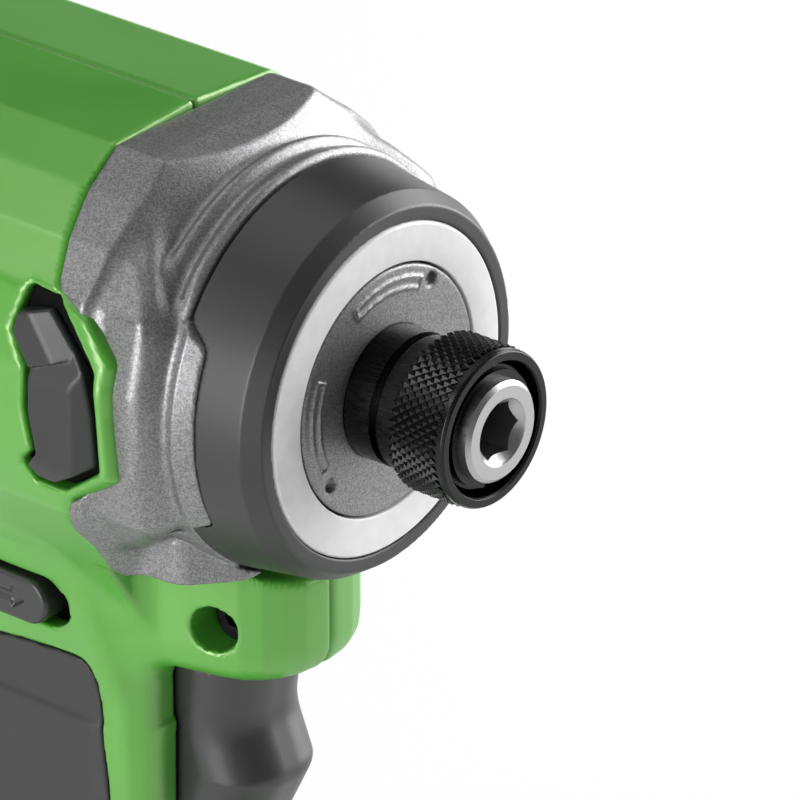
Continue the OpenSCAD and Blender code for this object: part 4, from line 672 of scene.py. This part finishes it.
class DRIVER_OT_case(bpy.types.Operator):
    """The die-cast hammer case with the light ring's plate and its arc ribs"""
    bl_idname = "driver.case"
    bl_label = "Hammer case"

    def execute(self, context):
        mat = finish("cast_case")
        b = Block([(-62.5, -48, 0.8), (-48, -16.2, 0.3)], [(-32, 32, 0.36)], [(-26, 31.5, 0.36)])
        core = [(PLATE_X, -5), (PLATE_X, 15.7, 0.3), (BOARD_BACK, 15.7), (BOARD_BACK, 23.1), (BUMPER_BACK, 23.1)]
        tail = [(-44, SKIRT_R), (-61.3, SKIRT_R), (-61.3, -5)]
        ridged = b.turned([*core, (BUMPER_BACK, 26.0, 0.3), (-30.2, 26.6, 0.6), (-31.2, 26.5, 0.6), (-32, 25.7, 0.8),
                           (-32.8, 25.8, 0.8), (-33.7, 26.9, 0.7), (-34.6, 26.9, 0.7), (-35.4, 25.7, 0.8),
                           (-36.8, 25.6, 0.8), (-44, 25.9), *tail])
        plain = b.turned([*core, (BUMPER_BACK, 25.9, 0.3), (-36, 25.9, 1), (-44, 25.9), *tail])
        high = np.degrees(np.arctan2(b.z, np.abs(b.y)))
        fade = np.clip((high - 22) / 22, 0, 1)
        nose = plain + (ridged - plain) * (fade * fade * (3 - 2 * fade))
        ahead = b.side([(p[0] - 0.8, *p[1:]) for p in CHEEK] + [(60, SEAT), (60, 60)])
        faceted = b.front(BLOCK_FRONT)
        crease = np.interp(np.abs(b.Y), [0, 18.5, 23, 26], [-41.2, -41.1, -37.2, -35]).astype(np.float32)[None, :, None]
        sloped = faceted + np.where(b.x > crease, 0.08 + 0.26 * (b.x - crease), 0)
        lip = b.turned([(-48, -5), (-48, 40), (-41.8, 40, 0.3), (-40.6, 31.6, 0.3), (-37.6, 27.5, 1.2),
                        (-36.2, 25.4), (-36.2, -5)])
        block = np.maximum(both(0.35, sloped, lip, -47.8 - b.x), ahead)
        pad = b.turned([(-44, -5), (-44, 40), (-34, 40, 0.5), (-31.8, 29.4, 0.8), (-30.3, 27.2, 0.8), (-29.8, 25),
                        (-29.8, -5)])
        pad = np.maximum(both(1.6, faceted + 1.4, b.side(PAD_SIDE), pad), ahead)
        foot = np.maximum(both(0.5, b.plan(CASE_FOOT), SEAT - b.z, b.z + 18), ahead)
        foot = less(0.3, foot, np.maximum(b.rod_x(0, 0, 25.9), BUMPER_BACK - b.x))
        lug = b.turned([(-31, 20), (-31, 25.9), (-29.6, 26.2, 0.6), (-28.6, 26.4, 0.4), (-26, 25.1), (-26, 20)])
        lug = np.maximum(both(0.3, lug, b.x - lug_edge(b) + 0.08), 11.9 - np.abs(b.y))
        lug = np.maximum(lug, b.bar(None, None, (-13.4, 13.4)))
        form = joined(1.0, np.minimum(np.minimum(nose, foot), lug), block)
        form = joined(1.4, form, pad)
        dent = np.sqrt(((b.x + 34.5) / 3.4) ** 2 + ((np.abs(b.y) - 21.4) / 1.5) ** 2 + ((b.z + 15.2) / 1.1) ** 2)
        form = less(0.6, form, dent - 1)
        bead = b.turned([(-18.6, RIB_R - 1.0), (PLATE_X + 0.35, RIB_R - 0.95, 0.2), (PLATE_X + 0.35, RIB_R + 0.95, 0.2),
                         (-18.6, RIB_R + 1.0)])
        well = b.turned([(PLATE_X + 0.08, RIB_R - 0.5), (PLATE_X + 1, RIB_R - 0.5), (PLATE_X + 1, RIB_R + 0.5),
                         (PLATE_X + 0.08, RIB_R + 0.5)])
        angle = np.degrees(np.arctan2(b.z, b.y))
        ribs = None
        for a in RIB_ANGLES:
            off = (angle - a + 180) % 360 - 180
            arc = np.abs(off) * (math.pi / 180 * RIB_R) - RIB_R * math.radians(RIB_HALF)
            rib = less(0.15, both(0.3, bead, arc), np.maximum(well, arc + 0.5))
            ribs = rib if ribs is None else np.minimum(ribs, rib)
        for a, r in DIMPLES:
            dimple = np.sqrt((b.x - PLATE_X) ** 2 + (b.y - r * math.cos(math.radians(a))) ** 2
                             + (b.z - r * math.sin(math.radians(a))) ** 2) - 0.9
            form = less(0.3, form, dimple)
        form = joined(0.25, form, ribs)
        form = less(0.2, form, b.rod_x(0, 0, 8.05), np.maximum(b.rod_x(0, 0, 19.9), np.abs(b.x + 49.5) - 18.2))
        carve("cast_case", b, form, mat, "housing", "cast_case", "hammer_case")
        return {"FINISHED"}


class DRIVER_OT_bumper(bpy.types.Operator):
    """The rubber bumper round the nose, notched for the case's lugs"""
    bl_idname = "driver.bumper"
    bl_label = "Nose bumper"

    def execute(self, context):
        mat = plastic("moulded_rubber_bumper", context.scene.driver_colours.rubber, rough=0.45, grain=0.3, depth=0.02,
                      specular=0.8)
        b = Block([(-30.4, -17, 0.24)], [(-26.4, 26.4, 0.3)], [(-26.4, 26.4, 0.3)])
        form = b.turned([(-17.6, 21.05, 0.1), (-17.6, 22.8, 0.1), (-19.9, 24.3, 0.2), (-29.55, 25.7, 0.3),
                         (-29.55, 23.15), (-22, 23.15), (-22, 21.05)])
        form = both(0.3, form, lug_edge(b) - b.x)
        carve("rubber_bumper", b, form, mat, "housing", "soft_rubber", "nose_bumper")
        return {"FINISHED"}


def lathe(name, path, sides=192):
    """A closed mesh turned about the spindle from a closed outline of (station, radius, corner radius)."""
    pts = rounded(path, 4)
    n = len(pts)
    a = np.arange(sides) * 2 * math.pi / sides
    corners = np.stack([np.repeat(pts[:, 0], sides), np.outer(pts[:, 1], np.cos(a)).ravel(),
                        np.outer(pts[:, 1], np.sin(a)).ravel()], 1)
    i, j = np.meshgrid(np.arange(n), np.arange(sides), indexing="ij")
    i2, j2 = (i + 1) % n, (j + 1) % sides
    faces = np.stack([i * sides + j, i * sides + j2, i2 * sides + j2, i2 * sides + j], -1).reshape(-1, 4)
    area = np.sum(pts[:, 0] * np.roll(pts[:, 1], -1) - np.roll(pts[:, 0], -1) * pts[:, 1])
    if area < 0:
        faces = faces[:, ::-1]
    mesh = to_mesh(name, corners, faces)
    mesh.set_sharp_from_angle(angle=math.radians(40))
    return mesh


class DRIVER_OT_light(bpy.types.Operator):
    """The opal diffuser ring in front of the light board"""
    bl_idname = "driver.light"
    bl_label = "Light ring"

    def execute(self, context):
        mat = finish("light_diffuser")
        path = [(-17.5, 16.0, 0.2), (-17.45, 18.5, 4), (-17.5, 20.6, 0.3), (-17.9, 20.95, 0.1), (RING_BACK, 20.95),
                (RING_BACK, 19.7), (-19.4, 19.7), (-19.4, 17.3), (RING_BACK, 17.3), (RING_BACK, 15.9)]
        place("light_diffuser_ring", lathe("light_diffuser_ring", path), mat, "housing", "light_diffuser",
              "light_ring")
        return {"FINISHED"}


# The bit holder
def node_tree(name, sockets):
    """A new geometry tree with named inputs: (name, kind, default)."""
    tree = bpy.data.node_groups.new(name, "GeometryNodeTree")
    tree.interface.new_socket("Geometry", in_out="OUTPUT", socket_type="NodeSocketGeometry")
    tree.interface.new_socket("Geometry", in_out="INPUT", socket_type="NodeSocketGeometry")
    for label, kind, default in sockets:
        item = tree.interface.new_socket(label, in_out="INPUT", socket_type="NodeSocket" + kind)
        item.default_value = default
    return tree, tree.nodes.new("NodeGroupInput").outputs


def grown(name, tree, start, values, material):
    """Runs a geometry tree on a start mesh and returns the plain mesh that it makes."""
    holder = bpy.data.objects.new(name, start)
    bpy.context.scene.collection.objects.link(holder)
    mod = holder.modifiers.new(name, "NODES")
    mod.node_group = tree
    for item in tree.interface.items_tree:
        if item.item_type == "SOCKET" and item.in_out == "INPUT" and item.name in values:
            mod[item.identifier] = values[item.name]
        if item.item_type == "SOCKET" and item.in_out == "INPUT" and item.name == "Material":
            mod[item.identifier] = material
    view = bpy.context.evaluated_depsgraph_get()
    view.update()
    mesh = bpy.data.meshes.new_from_object(holder.evaluated_get(view))
    bpy.data.objects.remove(holder)
    mesh.name = name
    return mesh


def finish_tree(tree, geometry, inputs):
    real = add(tree, "GeometryNodeRealizeInstances", {0: geometry})
    flat = add(tree, "GeometryNodeSetShadeSmooth", {0: real.outputs[0]}, Shade_Smooth=False)
    paint = add(tree, "GeometryNodeSetMaterial", {0: flat.outputs[0], "Material": inputs["Material"]})
    add(tree, "NodeGroupOutput", {0: paint.outputs[0]})
    return tree


def knurl_tree():
    """Pyramids in staggered rows round a cylinder on the X axis: a diamond knurl."""
    tree, inputs = node_tree("diamond_knurl", [("Radius", "Float", 9.5), ("Start", "Float", -3.0),
                             ("Width", "Float", 1.15), ("Length", "Float", 1.45), ("Columns", "Int", 52),
                             ("Rows", "Int", 9), ("Height", "Float", 0.35), ("Centre", "Vector", (0, 0, 0)),
                             ("Material", "Material", None)])

    def times(a, b):
        return maths(tree, "MULTIPLY", a, b)

    def over(a, b):
        return maths(tree, "DIVIDE", a, b)

    columns, width, length = inputs["Columns"], inputs["Width"], inputs["Length"]
    total = times(columns, inputs["Rows"])
    line = add(tree, "GeometryNodeMeshLine", {"Count": total})
    line.inputs["Offset"].default_value = (0, 0, 0)
    number = add(tree, "GeometryNodeInputIndex").outputs[0]
    row = maths(tree, "FLOOR", over(number, columns))
    column = maths(tree, "MODULO", number, columns)
    shift = times(maths(tree, "MODULO", row, 2), 0.5)
    turn = times(over(maths(tree, "ADD", column, shift), columns), 2 * math.pi)
    x = maths(tree, "SUBTRACT", inputs["Start"], times(row, over(length, 2)))
    place_at = add(tree, "ShaderNodeCombineXYZ", {0: x,
                   1: times(inputs["Radius"], times(maths(tree, "SINE", turn), -1)),
                   2: times(inputs["Radius"], maths(tree, "COSINE", turn))})
    moved = add(tree, "ShaderNodeVectorMath", {0: place_at.outputs[0], 1: inputs["Centre"]}, operation="ADD")
    spots = add(tree, "GeometryNodeSetPosition", {0: line.outputs[0], "Position": moved.outputs[0]})
    stud = add(tree, "GeometryNodeMeshCone", {"Radius Bottom": over(width, 2), "Radius Top": times(width, 0.04),
               "Depth": inputs["Height"]}, Vertices=4)
    facing = add(tree, "ShaderNodeCombineXYZ", {0: turn})
    spread = add(tree, "ShaderNodeCombineXYZ", {0: over(length, width)}, Y=1.0, Z=1.0)
    studs = add(tree, "GeometryNodeInstanceOnPoints", {0: spots.outputs[0], "Instance": stud.outputs[0],
                "Rotation": facing.outputs[0], "Scale": spread.outputs[0]})
    both_parts = add(tree, "GeometryNodeJoinGeometry", {0: studs.outputs[0]})
    tree.links.new(inputs["Geometry"], both_parts.inputs[0])
    return finish_tree(tree, both_parts.outputs[0], inputs)


class DRIVER_OT_collar(bpy.types.Operator):
    """The release collar: turned steel in black oxide, with a diamond knurl"""
    bl_idname = "driver.collar"
    bl_label = "Release collar"

    def execute(self, context):
        shape = context.scene.driver_shape
        mat = finish("black_steel")
        body = lathe("collar_body", [(-1.4, 8.45, 0.1), (-1.1, 8.62, 0.1), (-1.1, 9.6, 0.2), (-1.5, 9.82, 0.2),
                     (-2.15, 9.82, 0.1), (-2.3, 9.5), (-9.4, 9.5), (-9.9, 8.45, 0.3), (-12.4, 8.4, 0.2),
                     (-12.7, 8.15, 0.1), (-12.7, 7.05, 0.1), (-9.2, 6.42), (-8.0, 6.42), (-8.0, 8.45)])
        knurl_r, knurl_long = 9.5, 6.5
        columns = round(2 * math.pi * knurl_r / shape.knurl_width)
        rows = round(knurl_long / shape.knurl_length * 2)
        body.materials.append(mat)
        values = {"Radius": 9.66 / 1000, "Start": -3.03 / 1000, "Width": shape.knurl_width / 1000,
                  "Length": shape.knurl_length / 1000, "Columns": columns, "Rows": rows,
                  "Height": shape.knurl_height / 1000, "Centre": (FACE / 1000).tolist()}
        mesh = grown("knurled_collar", knurl_tree(), body, values, mat)
        place("knurled_collar", mesh, mat, "collar", "black_steel", "bit_collar")
        return {"FINISHED"}


class DRIVER_OT_trigger(bpy.types.Operator):
    """The trigger and the direction selector with its arrows"""
    bl_idname = "driver.trigger"
    bl_label = "Trigger and selector"

    def execute(self, context):
        mat = finish("dark_plastic")
        b = Block([(-61.4, -31.5, 0.36)], [(-9.2, 9.2, 0.36)], [(-75.6, -40.8, 0.36)])
        z, low = TRIGGER_Z, TRIGGER_Z - TRIGGER_H
        side = [(-64, z + 9), (-34.2, z + 9), (-34.3, z), (-35.6, z - 8.4, 6), (-32.6, z - 15.9, 3), (-36.6, z - 24, 9),
                (-38, z - 29, 6), (-36.4, low, 1.5), (-36, low - 9), (-64, low - 9)]
        form = rolled(7.4, b.side(side), np.abs(b.y) - TRIGGER_W / 2)
        form = both(0.9, form, b.z - z, low - b.z, -47 - b.x)
        stem = np.maximum(np.hypot(b.y, b.z - (z - 14.6)) - 3, np.maximum(b.x + 46, -60.4 - b.x))
        carve("trigger_lever", b, joined(0.4, form, stem), mat, "trigger", "dark_plastic", "trigger")
        b = Block([(-70, -54, 0.3)], [(-21, 21, 0.35)], [(-51, -30, 0.3)])
        dx = np.maximum(np.abs(b.x - SELECTOR[0]) - 3.9, 0)
        form = both(0.8, np.hypot(dx, b.z - SELECTOR[1]) - 3.1, np.abs(b.y) - 20.4)
        for side in (1, -1):
            tip = SELECTOR[0] + 3.6
            arrow = b.side([(tip, SELECTOR[1]), (tip - 2.2, SELECTOR[1] + 1.7), (tip - 2.2, SELECTOR[1] + 0.6),
                            (tip - 6.4, SELECTOR[1] + 0.6), (tip - 6.4, SELECTOR[1] - 0.6),
                            (tip - 2.2, SELECTOR[1] - 0.6), (tip - 2.2, SELECTOR[1] - 1.7)])
            form = less(0.2, form, np.maximum(arrow, 20.0 - side * b.y))
        post = np.maximum(np.hypot(b.x - SELECTOR[0], b.y) - 1.5, np.maximum(b.z + 35, TRIGGER_Z - 8.2 - b.z))
        carve("direction_button", b, np.minimum(form, post), mat, "selector", "dark_plastic", "selector_bar")
        return {"FINISHED"}


# The battery pack
PACK_X0, PACK_X1 = -121.0, -11.0
SPLIT_Z = PACK_TOP - 13
PACK_PLAN = footprint(PACK_X0, PACK_X1)
PACK_FRONT = both_sides([(PACK_W / 2 - 3, GROUND, 2), (PACK_W / 2, GROUND + 5, 3), (PACK_W / 2, PACK_TOP - 3, 2),
                         (PACK_W / 2 - 1.2, PACK_TOP, 1)])
PACK_SIDE = [(PACK_X1 - 3, GROUND, 2), (PACK_X1, GROUND + 5, 3), (PACK_X1, PACK_TOP - 3, 2),
             (PACK_X1 - 1.2, PACK_TOP, 1), (PACK_X0 + 1.2, PACK_TOP, 1), (PACK_X0, PACK_TOP - 3, 2),
             (PACK_X0, GROUND + 5, 3), (PACK_X0 + 3, GROUND, 2)]
BUTTON_X0, BUTTON_Z, BUTTON_H, BUTTON_W = PACK_X1 - 8, SPLIT_Z + 6, 4.6, 30.0
LATCH_FLOOR = BUTTON_Z - 4
HOOK_X0, HOOK_X1 = FOOT_X1 - 6, FOOT_X1 - 2.6
GAUGE_Z = SPLIT_Z - 12


def pack_forms(b):
    """The pack's outside, and the shell of its cases."""
    body = both(1.0, b.side(PACK_SIDE), b.front(PACK_FRONT), b.plan(PACK_PLAN))
    return body, np.maximum(body, -(body + 2.2))


class DRIVER_OT_pack(bpy.types.Operator):
    """The battery pack's two cases with their rails and grip ribs"""
    bl_idname = "driver.pack"
    bl_label = "Battery pack cases"

    def execute(self, context):
        mat = finish("black_plastic")
        half = RAIL_W / 2
        b = Block([(-122, -10, 0.85)], [(-38.5, 38.5, 0.85)], [(-160.4, -149.4, 0.5), (-149.4, -133.6, 0.5)])
        body, shell = pack_forms(b)
        form = both(0.5, shell, SPLIT_Z + 0.06 - b.z)
        neck = b.bar((RAIL_X0, RAIL_X1), (-half + 3.7, half - 3.7), (PACK_TOP - 2.2, ROOF_Z - RAIL_GAP))
        rail = b.bar((RAIL_X0, RAIL_X1), (-half, half), (FOOT_Z + 3.9, ROOF_Z - RAIL_GAP))
        inner = [(FOOT_X1 - 0.6, -PACK_W / 2 + 0.6, 14), (FOOT_X1 - 0.6, PACK_W / 2 - 0.6, 14), (-60, PACK_W / 2, 0),
                 (-60, -PACK_W / 2, 0)]
        front = both(0.8, b.plan(inner), b.bar((RAIL_X1 + 0.4, 20), (-half, half), (PACK_TOP - 2.2, ROOF_Z - RAIL_GAP)))
        bridge = b.bar((RAIL_X1 - 2, RAIL_X1 + 3), (-half + 3.7, half - 3.7), (PACK_TOP - 2.2, ROOF_Z - RAIL_GAP))
        latch_box = np.maximum(b.bar((HOOK_X0 - 2.2, 20), (-17.2, 17.2), (SPLIT_Z, PACK_TOP - 1)), body + 1.1)
        form = joined(0.5, form, np.minimum(neck, rail), np.minimum(front, bridge), latch_box)
        cuts = [b.bar((RAIL_X0 - 1, RAIL_X0 + 1), (-17.5, 17.5), (FOOT_Z + 0.5, -100)),
                b.bar((HOOK_X0 - 0.3, 20), (-15.3, 15.3), (LATCH_FLOOR, BUTTON_Z + BUTTON_H + 0.3)),
                b.bar((HOOK_X0 - 0.3, HOOK_X1 + 0.3), (-8.3, 8.3), (LATCH_FLOOR, -100))]
        for y in (-12, -4, 4, 12):
            cuts.append(b.bar((RAIL_X0 - 1, RAIL_X0 + 13), (y - 1.6, y + 1.6), (PACK_TOP - 5, -100)))
        form = less(0.4, form, *cuts)
        carve("pack_crown", b, form, mat, "pack", "black_plastic", "pack_upper_case")
        b = Block([(-122, -10, 0.95)], [(-38.5, 38.5, 0.95)], [(-197, -158.8, 0.8)])
        shell = pack_forms(b)[1]
        form = both(0.5, shell, b.z - SPLIT_Z + 0.06)
        boss = np.maximum(np.hypot(b.y, b.z - GAUGE_Z) - 5.8, np.abs(b.x - PACK_X1 + 3.3) - 2.3)
        form = joined(0.4, form, boss)
        form = less(0.3, form, np.maximum(np.hypot(b.y, b.z - GAUGE_Z) - 4.25, PACK_X1 - 4.7 - b.x))
        for x in (PACK_X0 + 5.2, PACK_X1 - 5.2):
            for y in (27, -27):
                form = less(0.3, form, np.maximum(b.rod_z(x, y, 2.45), b.z - GROUND - 8))
        carve("pack_tub", b, form, mat, "pack", "black_plastic", "pack_lower_case")
        return {"FINISHED"}


class DRIVER_OT_latch(bpy.types.Operator):
    """The pack's release button and the charge gauge's button"""
    bl_idname = "driver.latch"
    bl_label = "Latch and gauge"

    def execute(self, context):
        mat = finish("green_button")
        b = Block([(-21, -9.5, 0.3)], [(-16, 16, 0.35)], [(-154.5, -132, 0.3)])
        pad = both(0.7, b.x - PACK_X1 - 0.6, BUTTON_X0 - b.x,
                   b.bar(None, (-BUTTON_W / 2, BUTTON_W / 2), (BUTTON_Z, BUTTON_Z + BUTTON_H)))
        for i in range(3):
            z = BUTTON_Z + 1.1 + i * 1.2
            pad = less(0.3, pad, np.maximum(np.hypot(b.x - PACK_X1 - 0.8, b.z - z) - 0.45, np.abs(b.y) - 12))
        hook = both(0.4, np.maximum(b.bar((HOOK_X0, HOOK_X1), (-8, 8), (BUTTON_Z, ROOF_Z + 1.2)), -20 - b.x),
                    b.z - ROOF_Z - 1.2)
        carve("pack_release", b, np.minimum(pad, hook), mat, "latch", "green_button", "latch_button")
        path = [(PACK_X1 - 3.1, 0.001), (PACK_X1 - 3.1, 4), (PACK_X1 + 0.3, 4, 0.5), (PACK_X1 + 0.3, 1.6, 0.3),
                (PACK_X1, 1.4, 0.3), (PACK_X1, 0.001)]
        mesh = lathe("gauge_key", path, 64)
        mesh.transform(Matrix.Translation((0, 0, GAUGE_Z / 1000)))
        place("gauge_key", mesh, finish("dark_plastic"), "gauge", "dark_plastic", "gauge_button")
        return {"FINISHED"}


class DRIVER_OT_inside(bpy.types.Operator):
    """Finishes for the mechanism, motor, electronics and fasteners"""
    bl_idname = "driver.inside"
    bl_label = "Mechanism and fasteners"

    def execute(self, context):
        slots = {s["node"]: s["material_slot"] for s in frame["record"]["subparts"]}
        for name, piece in frame["nodes"].items():
            piece.data.materials.clear()
            piece.data.materials.append(finish(slots[name]))
            for face in piece.data.polygons:
                face.material_index = 0
        return {"FINISHED"}


# How white the floor looks in reflections
FLOOR_GLOW = 1.15

# Lamps: name, place, width, height and power; they stand beside the object, clear of the camera
LAMPS = (("side", (0.0, -1.3, 0.42), 0.6, 0.8, 14.0),
         ("left", (-0.72, -0.61, 0.93), 0.35, 0.3, 1.5),
         ("right", (0.4, 1.0, 0.5), 1.0, 0.9, 19.5),
         ("back", (-0.65, 0.97, 0.26), 0.7, 0.25, 1.1),
         ("top", (-0.3, 0.1, 1.4), 1.0, 1.0, 3.4))


# Camera: angles in degrees, lens and sensor, and its place from the anvil's face, in millimetres
CAMERA = {"azimuth": 39.87, "elevation": 26.28, "lens": 345.06, "sensor": 36.0,
          "across": -12.066, "up": 3.85, "away": 900}


class DRIVER_OT_stage(bpy.types.Operator):
    """A white floor, soft lamps and the camera"""
    bl_idname = "driver.stage"
    bl_label = "Studio"

    def execute(self, context):
        scene = context.scene
        scene.view_settings.view_transform = "Standard"
        world = bpy.data.worlds.new("studio")
        scene.world = world
        world.use_nodes = True
        tree = world.node_tree
        tree.nodes.clear()
        path = add(tree, "ShaderNodeLightPath")
        plain = add(tree, "ShaderNodeBackground", Strength=0.12)
        plain.inputs["Color"].default_value = (1, 1, 1, 1)
        white = add(tree, "ShaderNodeBackground", Strength=1.0)
        white.inputs["Color"].default_value = (1, 1, 1, 1)
        mix = add(tree, "ShaderNodeMixShader", {0: path.outputs["Is Camera Ray"], 1: plain.outputs[0],
                  2: white.outputs[0]})
        add(tree, "ShaderNodeOutputWorld", {"Surface": mix.outputs[0]})

        mesh = bpy.data.meshes.new("floor")
        r = 4.0
        mesh.from_pydata([(-r, -r, 0), (r, -r, 0), (r, r, 0), (-r, r, 0)], [], [(0, 1, 2, 3)])
        floor = bpy.data.objects.new("floor", mesh)
        scene.collection.objects.link(floor)
        mat, tree = new_material("studio_paper_white")
        paper = add(tree, "ShaderNodeBsdfPrincipled", Roughness=0.9)
        paper.inputs["Base Color"].default_value = linear("#f2f2f2")
        # Camera rays see the floor as mostly plain white glow. In reflections the floor is a painted reflection: a
        # white glow that fades to none on the camera's side and dims ahead of the nose.
        glow = add(tree, "ShaderNodeEmission", Strength=1.0)
        glow.inputs["Color"].default_value = (1, 1, 1, 1)
        path = add(tree, "ShaderNodeLightPath")
        seen = maths(tree, "MULTIPLY", path.outputs["Is Camera Ray"], 0.85)
        where = add(tree, "ShaderNodeTexCoord")
        along = add(tree, "ShaderNodeVectorMath", {0: where.outputs["Object"]}, operation="DOT_PRODUCT")
        along.inputs[1].default_value = (0.64, -0.77, 0)
        near = add(tree, "ShaderNodeMapRange", {"Value": along.outputs["Value"]}, From_Min=0.1, From_Max=0.34,
                   To_Min=FLOOR_GLOW, To_Max=0.0)
        across = add(tree, "ShaderNodeVectorMath", {0: where.outputs["Object"]}, operation="DOT_PRODUCT")
        across.inputs[1].default_value = (0.7, 0.7, 0)
        ahead = add(tree, "ShaderNodeMapRange", {"Value": across.outputs["Value"]}, From_Min=-0.1, From_Max=0.25,
                    To_Min=1.0, To_Max=0.55)
        painted_glow = maths(tree, "MULTIPLY", near.outputs[0], ahead.outputs[0])
        mirrored = maths(tree, "MULTIPLY", path.outputs["Is Glossy Ray"], painted_glow)
        share = maths(tree, "ADD", seen, mirrored)
        mix = add(tree, "ShaderNodeMixShader", {0: share, 1: paper.outputs[0], 2: glow.outputs[0]})
        add(tree, "ShaderNodeOutputMaterial", {"Surface": mix.outputs[0]})
        mesh.materials.append(mat)

        centre = Vector((0.0, 0.0, 0.17))
        for name, at, wide, high, power in LAMPS:
            lamp = bpy.data.lights.new(name, "AREA")
            lamp.shape, lamp.size, lamp.size_y, lamp.energy = "RECTANGLE", wide, high, power
            holder = bpy.data.objects.new(name, lamp)
            scene.collection.objects.link(holder)
            holder.location = at
            holder.rotation_euler = (centre - Vector(at)).to_track_quat("-Z", "Y").to_euler()

        az, el = math.radians(CAMERA["azimuth"]), math.radians(CAMERA["elevation"])
        back = Vector((math.cos(el) * math.sin(az), -math.cos(el) * math.cos(az), math.sin(el)))
        right = Vector((0, 0, 1)).cross(back).normalized()
        up = back.cross(right)
        cam = bpy.data.cameras.new("camera")
        cam.lens, cam.sensor_width = CAMERA["lens"], CAMERA["sensor"]
        cam.clip_start, cam.clip_end = 0.05, 20.0
        eye = bpy.data.objects.new("camera", cam)
        scene.collection.objects.link(eye)
        face = Vector((FACE / 1000).tolist())
        eye.location = face + (right * CAMERA["across"] + up * CAMERA["up"] + back * CAMERA["away"]) / 1000
        eye.rotation_euler = (-back).to_track_quat("-Z", "Y").to_euler()
        scene.camera = eye
        return {"FINISHED"}


class DriverShape(bpy.types.PropertyGroup):
    """Sizes that a user would change, in millimetres"""
    knurl_width: bpy.props.FloatProperty(name="Knurl width", description="Width of a diamond round the collar",
                                         default=1.15, min=0.8, max=1.6, unit="NONE", subtype="DISTANCE")
    knurl_length: bpy.props.FloatProperty(name="Knurl length", description="Length of a diamond along the collar",
                                          default=1.45, min=1.0, max=2.0, unit="NONE", subtype="DISTANCE")
    knurl_height: bpy.props.FloatProperty(name="Knurl height", description="Height of a diamond's point",
                                          default=0.36, min=0.1, max=0.4, unit="NONE", subtype="DISTANCE")


def shade(name, description, code):
    """A colour property that starts from a six-digit sRGB hex code."""
    return bpy.props.StringProperty(name=name, description=description, default=code, maxlen=7)


class DriverColours(bpy.types.PropertyGroup):
    """Colours, as sRGB hex codes"""
    housing: shade("Housing", "Green of the housing", "#439a29")
    rubber: shade("Rubber", "Bumper and soft grips", "#1f1f20")
    dark: shade("Dark plastic", "Louvres, trigger and selector", "#262627")
    cast: shade("Cast case", "Coat of the hammer case", "#8a8a8b")
    oxide: shade("Black oxide", "Release collar and bushing", "#343435")
    steel: shade("Steel", "Anvil and other ground steel", "#b8b8b9")
    diffuser: shade("Diffuser", "Light ring", "#ececec")
    pack: shade("Pack", "Battery pack's cases", "#2a2a2c")


STEPS = (DRIVER_OT_stage, DRIVER_OT_inside, DRIVER_OT_housing, DRIVER_OT_grips, DRIVER_OT_louvres, DRIVER_OT_case,
         DRIVER_OT_bumper, DRIVER_OT_light, DRIVER_OT_collar, DRIVER_OT_trigger, DRIVER_OT_pack, DRIVER_OT_latch)


class DRIVER_PT_panel(bpy.types.Panel):
    """The driver's pieces in the sidebar"""
    bl_idname = "DRIVER_PT_panel"
    bl_label = "Impact driver"
    bl_space_type = "VIEW_3D"
    bl_region_type = "UI"
    bl_category = "Driver"

    def draw(self, context):
        for group in (context.scene.driver_shape, context.scene.driver_colours):
            for name in group.__annotations__:
                self.layout.prop(group, name)
        for step in STEPS:
            self.layout.operator(step.bl_idname)


CLASSES = (DriverShape, DriverColours, *STEPS, DRIVER_PT_panel)


def register():
    for cls in CLASSES:
        bpy.utils.register_class(cls)
    bpy.types.Scene.driver_shape = bpy.props.PointerProperty(type=DriverShape)
    bpy.types.Scene.driver_colours = bpy.props.PointerProperty(type=DriverColours)


def unregister():
    del bpy.types.Scene.driver_shape
    del bpy.types.Scene.driver_colours
    for cls in reversed(CLASSES):
        bpy.utils.unregister_class(cls)


def main():
    register()
    for step in STEPS:
        family, name = step.bl_idname.split(".")
        getattr(getattr(bpy.ops, family), name)()


if __name__ == "__main__":
    main()
